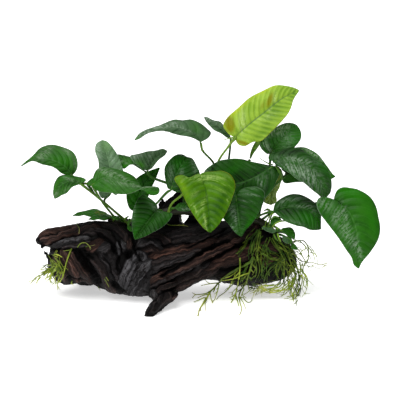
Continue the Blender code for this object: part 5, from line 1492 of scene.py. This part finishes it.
def bundled(seen):
    """What bundles and splits do at sheet points: height, cut, grain along and across, red and grey."""
    height = np.full(len(seen), -1.0)
    seen = seen + warp(seen)
    along, across = np.zeros(len(seen)), np.zeros(len(seen))
    red, grey = np.zeros(len(seen)), np.zeros(len(seen))
    for number, (line, half_width, rise, redness, greyness) in enumerate(BUNDLES):
        signed, reach, length = along_line(seen, line)
        ends = np.clip(np.minimum(reach, length - reach) / BUNDLE_END, 0, 1) ** 0.5
        level = rise * (1 - (signed / (BUNDLE_FLANK * half_width)) ** 2) - BUNDLE_END_DROP * (1 - ends)
        level += BUNDLE_WAVE * np.sin(reach / BUNDLE_WAVE_LENGTH + BUNDLE_WAVE_OFFSET * number)
        above = level > height
        height[above] = level[above]
        along[above] = (reach + ALONG_OFFSET * number)[above]
        across[above] = (signed + ACROSS_OFFSET * number)[above]
        share = np.clip(level / rise + BUNDLE_TINT, 0, 1)
        red[above] = (redness * share)[above]
        grey[above] = (greyness * share)[above]
    cut = np.zeros(len(seen))
    for line, half_width, depth in SPLITS:
        signed, reach, length = along_line(seen, line)
        ends = np.clip(np.minimum(reach, length - reach) / SPLIT_END + 0.35, 0, 1)
        cut = np.maximum(cut, depth * np.exp(-((signed / half_width) ** 2)) * ends)
    return height, cut, along, across, red, grey


def driftwood(material):
    """The log with its weathered grain, in place of its four solids."""
    wood = driftwood_skin()
    wood.data.materials.append(material)
    places, normals = read(wood.data, "co"), read(wood.data, "normal")
    eye = np.array((0, -math.cos(EYE_ELEVATION), math.sin(EYE_ELEVATION)))
    facing = np.clip((normals @ eye + 0.05) / 0.35, 0, 1)
    seen = drawn_at(places)
    height, cut, along, across, red, grey = bundled(seen)
    x, y, z = (places / MM).T
    back_grain = np.column_stack([x + 0.3 * z, 0.9 * z - 0.35 * x + 4 * np.sin(x / 19), y])
    drawn_grain = np.column_stack([along, across, np.zeros(len(places))])
    grain = np.where(facing[:, None] > 0.5, drawn_grain, back_grain)
    wild = np.array([ridged(p, 3) for p in back_grain * PLAIN_SCALES])
    fibre = np.array([ridged(p, 2) for p in grain * FIBRE_SCALES + FIBRE_START])
    lumps = np.array([noise.noise(Vector(p)) for p in places / MM * LUMP_SCALE])
    plain = PLAIN_RELIEF * (wild - CREST_MIDDLE)
    rise = facing * (height - cut) + (1 - facing) * plain
    rise = rise + FIBRE_RELIEF * (fibre - CREST_MIDDLE) + LUMP_RELIEF * lumps
    places += normals * (rise * MM)[:, None]
    places[:, 2] = np.maximum(places[:, 2], 0)
    wood.data.vertices.foreach_set("co", places.astype(np.float32).ravel())
    wood.data.update()
    store(wood.data, "grain", grain * MM)
    # Painted shade: grooves between bundles, splits and low parts of the plain relief are darkened in the
    # colour
    sunken = np.clip(0.9 - height, 0, 1.5) * 0.5 + cut * 0.5
    hollow_shade = facing * sunken + (1 - facing) * np.clip(-plain, 0, 1)
    red = facing * red + (1 - facing) * PLAIN_RED
    grey = facing * grey + (1 - facing) * PLAIN_GREY
    store(wood.data, "weathering_and_shade", np.column_stack([hollow_shade, red, grey]))
    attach(wood, "root")
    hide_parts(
        "driftwood_trunk", "driftwood_left_limb", "driftwood_front_stub", "driftwood_back_branch"
    )
    return wood


# Moss and hair roots

# Strands of moss and roots as they are seen: radius, how yellow and how dried they are, and the drawn line
STRANDS = {
    "moss_right": (
        (0.55, 0.1, 0.0, ((258, 230), (253, 235), (248, 239), (244.5, 246), (240, 251), (237, 254))),
        (0.7, 0.1, 0.0, ((259, 231), (256.5, 236), (253, 243), (251, 250), (253, 257))),
        (0.6, 0.2, 0.0, ((259.5, 232), (257.5, 240), (256.5, 247), (258, 252), (257, 258), (259, 264))),
        (0.6, 0.1, 0.0, ((254, 257), (256, 264), (256.5, 271), (255, 278), (253.5, 285))),
        (0.5, 0.1, 0.0, ((247, 265), (244.5, 270), (242, 276), (240, 282))),
        (0.5, 0.2, 0.0, ((249, 277), (252, 281), (255, 286), (253, 291))),
        (0.6, 0.1, 0.0, ((261, 253), (265, 255), (270, 259), (277, 260), (282, 262))),
        (0.55, 0.0, 0.0, ((263, 249), (268, 254), (273, 258), (279, 261), (285, 262))),
        (0.5, 0.1, 0.0, ((266, 245), (267, 252), (268, 258), (268, 264))),
        (0.5, 0.2, 0.0, ((267, 238), (265, 243), (262, 249), (260, 255))),
        (0.7, 0.1, 0.0, ((272, 238), (277, 247), (281, 254), (284, 260), (284, 268), (284, 276),
                         (283, 284))),
        (0.6, 0.0, 0.0, ((283, 260), (276, 264), (270, 269), (267, 273), (265, 278), (264, 282))),
        (0.5, 0.0, 0.0, ((280, 262), (276, 268), (277, 275))),
        (0.5, 0.1, 0.0, ((285, 257), (281, 264), (278, 271), (277, 277))),
        (0.6, 0.2, 0.0, ((278, 240), (283, 246), (287, 252), (289, 258), (291, 264), (294, 271), (296, 278),
                         (297, 285), (294, 292), (293.5, 300))),
        (0.6, 0.3, 0.0, ((288, 251), (294, 259), (297, 268), (299, 275), (299, 282), (301, 289),
                         (298, 296))),
        (0.5, 0.4, 0.0, ((290, 243), (297, 240.5), (303, 240.5), (307, 245), (308.5, 251), (308, 259),
                         (305, 263), (303, 270), (305, 277), (303, 284), (307, 289))),
        (0.4, 0.5, 0.0, ((300, 241), (304, 245), (306, 249), (301, 250))),
        (0.45, 0.4, 0.0, ((292, 247), (298, 249), (303, 257), (306, 262))),
        (0.4, 0.7, 0.3, ((291, 254), (296, 255), (299, 260), (306, 262), (313, 262.5), (319, 264.5),
                         (328, 263))),
        (0.4, 0.6, 0.0, ((308, 247), (312, 252), (314, 256), (315, 261))),
        (0.35, 0.7, 0.0, ((310, 252), (315, 254), (317.5, 257))),
        (0.55, 0.6, 0.0, ((296, 276), (292, 284), (295, 292), (296, 299))),
        (0.5, 0.8, 0.1, ((290, 272), (287, 279), (289, 286), (284, 292), (281, 293))),
        (0.6, 0.8, 0.4, ((290, 280), (288, 285), (284, 289), (278, 291.5), (270, 292), (264, 289.5),
                         (258, 286))),
        (0.5, 0.8, 0.3, ((283, 283), (279, 287), (273, 289), (266, 290.5), (260, 293.5))),
        (0.45, 0.8, 0.4, ((276, 285), (270, 286), (264, 286), (258, 290), (253, 293))),
        (0.5, 0.5, 0.2, ((294, 292), (291, 295.5), (286.5, 297))),
        (0.5, 0.6, 0.0, ((292, 262), (298, 270), (302, 277), (301, 286), (298, 293))),
        (0.45, 0.7, 0.0, ((300, 262), (301, 269), (307, 277), (306, 283))),
        (0.5, 0.4, 0.0, ((286, 262), (289, 271), (293, 279), (291, 288), (293, 296))),
        (0.5, 0.3, 0.0, ((276, 244), (284, 249), (292, 252), (299, 251))),
        (0.5, 0.1, 0.0, ((264, 260), (262, 268), (263, 275), (259, 281))),
        (0.5, 0.2, 0.0, ((288, 244), (291, 250), (295, 256), (301, 260), (303, 266))),
    ),
    "roots_front_left": (
        (1.0, 0.3, 0.1, ((253, 257), (250, 262), (245, 265), (240, 267.5), (234, 271), (229, 274),
                         (224, 278), (219, 282), (215, 287), (210, 292), (206.5, 298))),
        (0.8, 0.7, 0.5, ((210, 292), (206, 299), (203, 304), (199.5, 309), (198, 316))),
        (0.5, 0.6, 0.4, ((218, 283), (212, 283.5), (206, 284.5), (201, 285.7))),
        (0.55, 0.3, 0.4, ((213, 289), (207, 293), (200, 294.5), (195, 295), (192.3, 298))),
        (0.5, 0.4, 0.5, ((209, 294), (203, 295.5), (197.5, 298))),
        (0.55, 0.9, 0.4, ((207, 298), (203, 298), (199, 300), (194, 302))),
        (0.5, 0.8, 0.6, ((206, 298), (203, 303), (200.5, 308), (201, 311))),
        (0.4, 0.8, 0.9, ((206, 299), (205, 305), (205.8, 311))),
        (0.45, 0.6, 0.5, ((210, 293), (211, 298), (212.5, 303))),
        (0.5, 0.5, 0.4, ((219, 284), (217.5, 291), (215, 298), (212, 303))),
        (0.5, 0.4, 0.2, ((234, 281), (229, 288), (224, 293), (219.5, 295.5), (216.5, 299.5))),
        (0.55, 0.5, 0.1, ((240, 272), (235, 277), (231, 283), (228, 290))),
        (0.5, 0.5, 0.1, ((249, 273), (243, 275), (236, 278), (228, 280), (221, 281))),
        (0.5, 0.4, 0.1, ((238, 270), (232, 275), (227, 277.5), (221, 279))),
    ),
    "roots_front_right": (
        (0.9, 0.2, 0.1, ((253, 257), (252, 262), (250, 270), (248, 276), (246.5, 282), (243, 287),
                         (240, 292), (238.5, 298))),
        (0.5, 0.8, 0.5, ((239, 294), (240, 303), (241.7, 309), (239.5, 315))),
        (0.7, 0.3, 0.1, ((240, 258), (240, 266), (239.5, 274), (238.5, 281), (237, 287), (236, 293),
                         (235.5, 299))),
        (0.7, 0.7, 0.2, ((237, 289), (235, 295), (231, 302.5))),
        (0.6, 0.5, 0.0, ((236, 296), (237.5, 301), (238.8, 306))),
        (0.45, 0.3, 0.1, ((238, 298), (241, 298), (243, 297), (245, 300), (248.5, 302.7), (251.5, 301),
                          (252, 298))),
        (0.4, 0.8, 0.5, ((240, 297), (243.5, 303), (245.7, 309))),
        (0.5, 0.4, 0.1, ((247, 283), (250, 287), (254, 289), (258, 288))),
        (0.4, 0.4, 0.2, ((253, 287.5), (248, 292), (244, 294.7))),
        (0.45, 0.5, 0.2, ((236, 293), (233, 296), (229.5, 297.8))),
        (0.5, 0.5, 0.1, ((247, 281), (243, 284), (238, 286))),
        (0.5, 0.5, 0.3, ((241, 286), (244, 289), (242, 294), (246, 298))),
        (0.4, 0.5, 0.3, ((237, 288), (233.5, 291), (231.5, 295))),
    ),
    "moss_left": (
        (0.6, 0.35, 0.0, ((71.5, 249), (68.5, 256), (66, 264), (64, 272), (62, 279), (58, 282),
                          (55, 283.5))),
        (0.35, 0.4, 0.1, ((71, 250), (67, 250.5), (63.5, 251))),
        (0.5, 0.5, 0.1, ((54, 254.5), (58, 255), (62, 257))),
        (0.45, 0.5, 0.0, ((56, 258), (58, 262), (60, 266), (61.5, 270))),
        (0.5, 0.6, 0.2, ((60, 266), (61.5, 270), (60, 276), (58, 281), (57.5, 285), (57.8, 290))),
        (0.5, 0.6, 0.2, ((52, 266), (50, 270), (46, 273), (41, 275), (36, 278), (33, 281), (29, 284.5))),
        (0.35, 0.8, 0.4, ((40, 276), (37, 281), (35.3, 284.8))),
        (0.55, 0.2, 0.0, ((59, 265), (54, 264), (50, 265), (46, 264.5), (44.5, 266.5))),
        (0.75, 0.1, 0.0, ((58, 267), (52, 270), (47, 271), (43, 273.5))),
        (0.45, 0.6, 0.1, ((53, 268), (46, 268.5), (40.5, 270.5))),
        (0.8, 0.7, 0.0, ((57, 266), (54, 271), (50, 275), (47.5, 278))),
        (0.6, 0.6, 0.0, ((55, 269), (53, 276), (56, 281), (56, 284))),
        (0.45, 0.4, 0.0, ((50.3, 260), (52, 264), (55, 267))),
        (0.5, 0.7, 0.1, ((53, 273), (50.5, 279), (50, 283))),
        (0.6, 0.5, 0.0, ((52, 264), (52, 269), (48, 274), (46.5, 276.5))),
        (0.5, 0.4, 0.0, ((59, 264), (57, 270), (59, 276))),
        (0.45, 0.8, 0.2, ((72, 281), (71, 284))),
        (0.3, 0.2, 0.1, ((104.5, 279), (106.5, 282), (109, 287))),
        (0.3, 0.2, 0.1, ((106, 277), (108.5, 281))),
        (0.35, 0.3, 0.3, ((77.5, 247.5), (80, 244), (84, 242.5), (88, 244.5), (91, 248.5))),
        (0.3, 0.3, 0.3, ((85.5, 247), (88.5, 246), (90.5, 249.5))),
        (0.3, 0.6, 0.9, ((98, 286.5), (99, 288.5), (100.5, 290.5))),
    ),
    "stem_roots": (
        (0.4, 0.25, 0.3, ((165, 223), (172, 225.5), (180, 225), (188, 226.5))),
        (0.4, 0.4, 0.4, ((180.5, 215), (182, 221), (184, 225))),
        (0.25, 0.3, 0.6, ((76, 224), (79, 228), (79, 234))),
    ),
}

# How much yellower than drawn all strands of a tuft are
YELLOWING = {"roots_front_left": 0.2, "roots_front_right": 0.15, "moss_left": 0.1}

# Each tuft: the seed of its random choices, how many side shoots and how many finer strands a drawn one has
TUFTS = (
    ("moss_right", 11, 1.4, 3),
    ("moss_left", 12, 1.6, 2),
    ("roots_front_left", 13, 1.2, 0),
    ("roots_front_right", 14, 1.2, 0),
    ("stem_roots", 15, 0.3, 0),
)

# Strands, in millimetres and shares. Left of LAST_FULL_LOCK and under FIRST_LOW_LOCK all the finer ones are
# there, and half of them elsewhere. In the left tuft there are none right of LAST_TUFT_LOCK
STRAND_SIDES = 5
STRAND_STEPS = 3
STRAND_SWELL = 1.35
STRAND_TIP = 0.55
STRAND_UP = (0.21, 0.9, 0.3)
STRAND_LIFTS = (0.6, 3.5)
FREE_STRAND_AWAY = -14
FINER = 0.7
ASIDE = 2.2
LAST_FULL_LOCK = 290
FIRST_LOW_LOCK = 266
LAST_TUFT_LOCK = 60
SHOOT_SPACING = 18
SHOOT_SPREADS = (0.4, 0.9)
SHOOT_LENGTHS = (3, 7.5)
SHOOT_STEPS = 5
SHOOT_LEAN = 0.3
SHOOT_BEND = 0.3
RIPENESS_SPREAD = 0.12
FLOOR_CLEARANCE = 1.0
LOWEST_STRAND = 0.2
STEP_CLOSER = 10
SIGHT_ENDS = (-90, 90)


def sight(point):
    """The eye and the direction from it through a sheet point (right, down)."""
    near, far = (placed((*point, away)) for away in SIGHT_ENDS)
    return near, unit(far - near)


def draped(line, wood, lift):
    """Points along a drawn line, `lift` over the wood where it is behind them, and clear of the floor."""
    drawn = smooth([(*p, 0) for p in line], np.linspace(0, 1, STRAND_STEPS * len(line)))[:, :2]
    awayness = np.full(len(drawn), np.nan)
    for i, point in enumerate(drawn):
        origin, direction = sight(point)
        hit = wood.ray_cast(Vector(origin), Vector(direction))[0]
        if hit is not None:
            awayness[i] = hit.y / MM + BOX_MIDDLE_Y - lift
    known = np.flatnonzero(~np.isnan(awayness))
    if len(known):
        awayness = np.interp(np.arange(len(drawn)), known, awayness[known])
    else:
        awayness[:] = FREE_STRAND_AWAY
    places = []
    for point, away in zip(drawn, awayness):
        place = placed((*point, away))
        if place[2] < FLOOR_CLEARANCE * MM:
            closer = placed((*point, away - STEP_CLOSER))
            share = (FLOOR_CLEARANCE * MM - place[2]) / (closer[2] - place[2])
            place = place + (closer - place) * share
        places.append(place)
    places = np.array(places)
    for _ in range(3):
        places[1:-1, 1] = (places[:-2, 1] + 2 * places[1:-1, 1] + places[2:, 1]) / 4
    return places


def strands(name, wood, material, seed, shoots, copies):
    """Drawn strands with side shoots and finer strands beside them."""
    random = np.random.default_rng(seed)
    shapes, kept = [], []

    def add(path, radius, values, start=0.0):
        radii = radius * MM * np.linspace(1, STRAND_TIP, len(path))
        shapes.append(tube_shape(path, radii, radii, STRAND_SIDES, up=STRAND_UP))
        share = start + (1 - start) * np.linspace(0, 1, len(path))
        count = STRAND_SIDES * len(path)
        kept.append(np.column_stack([np.repeat(share, STRAND_SIDES), *(np.full(count, v) for v in values)]))

    for radius, yellow, dried, line in STRANDS[name]:
        right, down = np.mean(line, axis=0)[:2]
        extra = copies if right < LAST_FULL_LOCK or down > FIRST_LOW_LOCK else copies // 2
        if name == "moss_left":
            extra = copies if right < LAST_TUFT_LOCK else 0
        for copy in range(extra + 1):
            shifted = np.array(line, float)
            if copy:
                shifted += random.normal(size=2) * ASIDE
                shifted += np.cumsum(random.normal(size=shifted.shape), axis=0)
            path = draped(shifted, wood, random.uniform(*STRAND_LIFTS))
            thick = STRAND_SWELL * radius * (1 if copy == 0 else FINER)
            ripe_and_backlit = yellow + YELLOWING.get(name, 0) + random.normal() * RIPENESS_SPREAD
            values = (np.clip(ripe_and_backlit, 0, 1), dried)
            add(path, thick, values)
            for _ in range(random.poisson(shoots * len(path) / SHOOT_SPACING)):
                at = random.integers(1, len(path) - 1)
                forward = unit(path[at + 1] - path[at - 1])
                across = unit(np.cross(forward, (0, 1, 0))) * random.choice((-1, 1))
                sideways = across * random.uniform(*SHOOT_SPREADS)
                heading = unit(forward + sideways + np.array((0, random.normal() * SHOOT_LEAN, 0)))
                bend = unit(random.normal(size=3)) * SHOOT_BEND
                steps = np.linspace(0, 1, SHOOT_STEPS)[:, None]
                length = random.uniform(*SHOOT_LENGTHS) * MM
                shoot = path[at] + length * (steps * heading + steps**2 * bend)
                add(shoot, thick * FINER, values, at / len(path))
    shape = joined_shapes(shapes)
    shape[0][:, 2] = np.maximum(shape[0][:, 2], LOWEST_STRAND * MM)
    thing = mesh_object(name + "_strands", shape, material)
    store(thing.data, "strand", np.vstack(kept))
    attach(thing, "root")
    if name != "stem_roots":
        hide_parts(name)
    return thing


# Surroundings


# The room: floor and lit height in metres
FLOOR_REACH = 4.0
FLOOR_WHITE = 0.97
FLOOR_GLOW = 0.5
SKY_STRENGTH = 0.25
LIT_HEIGHT = 0.09
SENSOR_WIDTH = 36

# Lamps: name, kind, place in metres, its angle (sun) or its side in metres, and its power
LAMPS = (
    ("key", "SUN", (-0.35, -0.45, 1.3), 0.9, 2.5),
    ("overhead", "AREA", (0.1, 0.4, 1.2), 1.0, 3.5),
    ("side", "AREA", (-1.2, -0.6, 0.7), 0.5, 1.6),
)


def floor_material():
    """Nearly white, with a glow that keeps it as pale as the photograph's background."""
    nodes = Nodes("pale_floor")
    nodes.shader.inputs["Base Color"].default_value = (FLOOR_WHITE, FLOOR_WHITE, FLOOR_WHITE, 1)
    nodes.shader.inputs["Roughness"].default_value = 0.8
    nodes.shader.inputs["Emission Color"].default_value = (1, 1, 1, 1)
    nodes.shader.inputs["Emission Strength"].default_value = FLOOR_GLOW
    return nodes.material


def studio():
    """A pale floor, soft light and the camera of the photograph."""
    corners = [(a * FLOOR_REACH, b * FLOOR_REACH, 0) for a, b in ((-1, -1), (1, -1), (1, 1), (-1, 1))]
    floor = mesh_object("floor", (corners, [(0, 1, 2, 3)]), floor_material())
    world = bpy.data.worlds.new("studio")
    bpy.context.scene.world = world
    world.use_nodes = True
    sky = world.node_tree.nodes["Background"]
    sky.inputs["Color"].default_value = (1, 1, 1, 1)
    sky.inputs["Strength"].default_value = SKY_STRENGTH
    aim = Vector((0, 0, LIT_HEIGHT))
    for name, kind, place, size, power in LAMPS:
        lamp = bpy.data.lights.new(name, kind)
        lamp.energy = power
        if kind == "SUN":
            lamp.angle = size
        else:
            lamp.size = size
        holder = bpy.data.objects.new(name, lamp)
        holder.location = place
        holder.rotation_euler = (aim - Vector(place)).to_track_quat("-Z", "Y").to_euler()
        bpy.context.scene.collection.objects.link(holder)
    bpy.context.scene.view_settings.view_transform = "Standard"

    camera = bpy.data.objects.new("camera", bpy.data.cameras.new("camera"))
    middle = Vector((-BOX_MIDDLE_X, -BOX_MIDDLE_Y, SHEET_MIDDLE_HEIGHT)) * MM
    looking = Vector((0, math.cos(EYE_ELEVATION), -math.sin(EYE_ELEVATION)))
    camera.location = middle - looking * EYE_DISTANCE * MM
    camera.rotation_euler = looking.to_track_quat("-Z", "Y").to_euler()
    camera.data.sensor_width = SENSOR_WIDTH
    camera.data.lens = SENSOR_WIDTH * EYE_DISTANCE / SHEET_SIDE
    bpy.context.scene.collection.objects.link(camera)
    bpy.context.scene.camera = camera


def build():
    """Everything that is seen: the plant in its own order, the log, the tufts and the surroundings."""
    materials = {kind: leaf_material(kind) for kind in GREENS}
    for seed, (name, leaf) in enumerate(LEAVES.items()):
        look = LOOKS[name]
        blade(name, leaf, look, materials[look[0]], seed)
    skin = stalk_material()
    for name in RHIZOMES:
        creeping_stem(name, skin)
    rolled_leaf(materials["fresh"])
    wood = driftwood(wood_material())
    bpy.context.view_layer.update()
    corners = [v.co for v in wood.data.vertices]
    surface = BVHTree.FromPolygons(corners, [p.vertices for p in wood.data.polygons])
    moss = moss_material()
    for name, seed, shoots, copies in TUFTS:
        strands(name, surface, moss, seed, shoots, copies)
    studio()


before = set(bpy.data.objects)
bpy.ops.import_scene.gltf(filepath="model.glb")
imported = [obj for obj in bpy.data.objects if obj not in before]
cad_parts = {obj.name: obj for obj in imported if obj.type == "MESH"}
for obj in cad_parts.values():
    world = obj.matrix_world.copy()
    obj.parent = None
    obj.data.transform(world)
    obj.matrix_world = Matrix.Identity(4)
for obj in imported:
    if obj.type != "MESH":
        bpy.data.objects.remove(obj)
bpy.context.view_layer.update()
build()
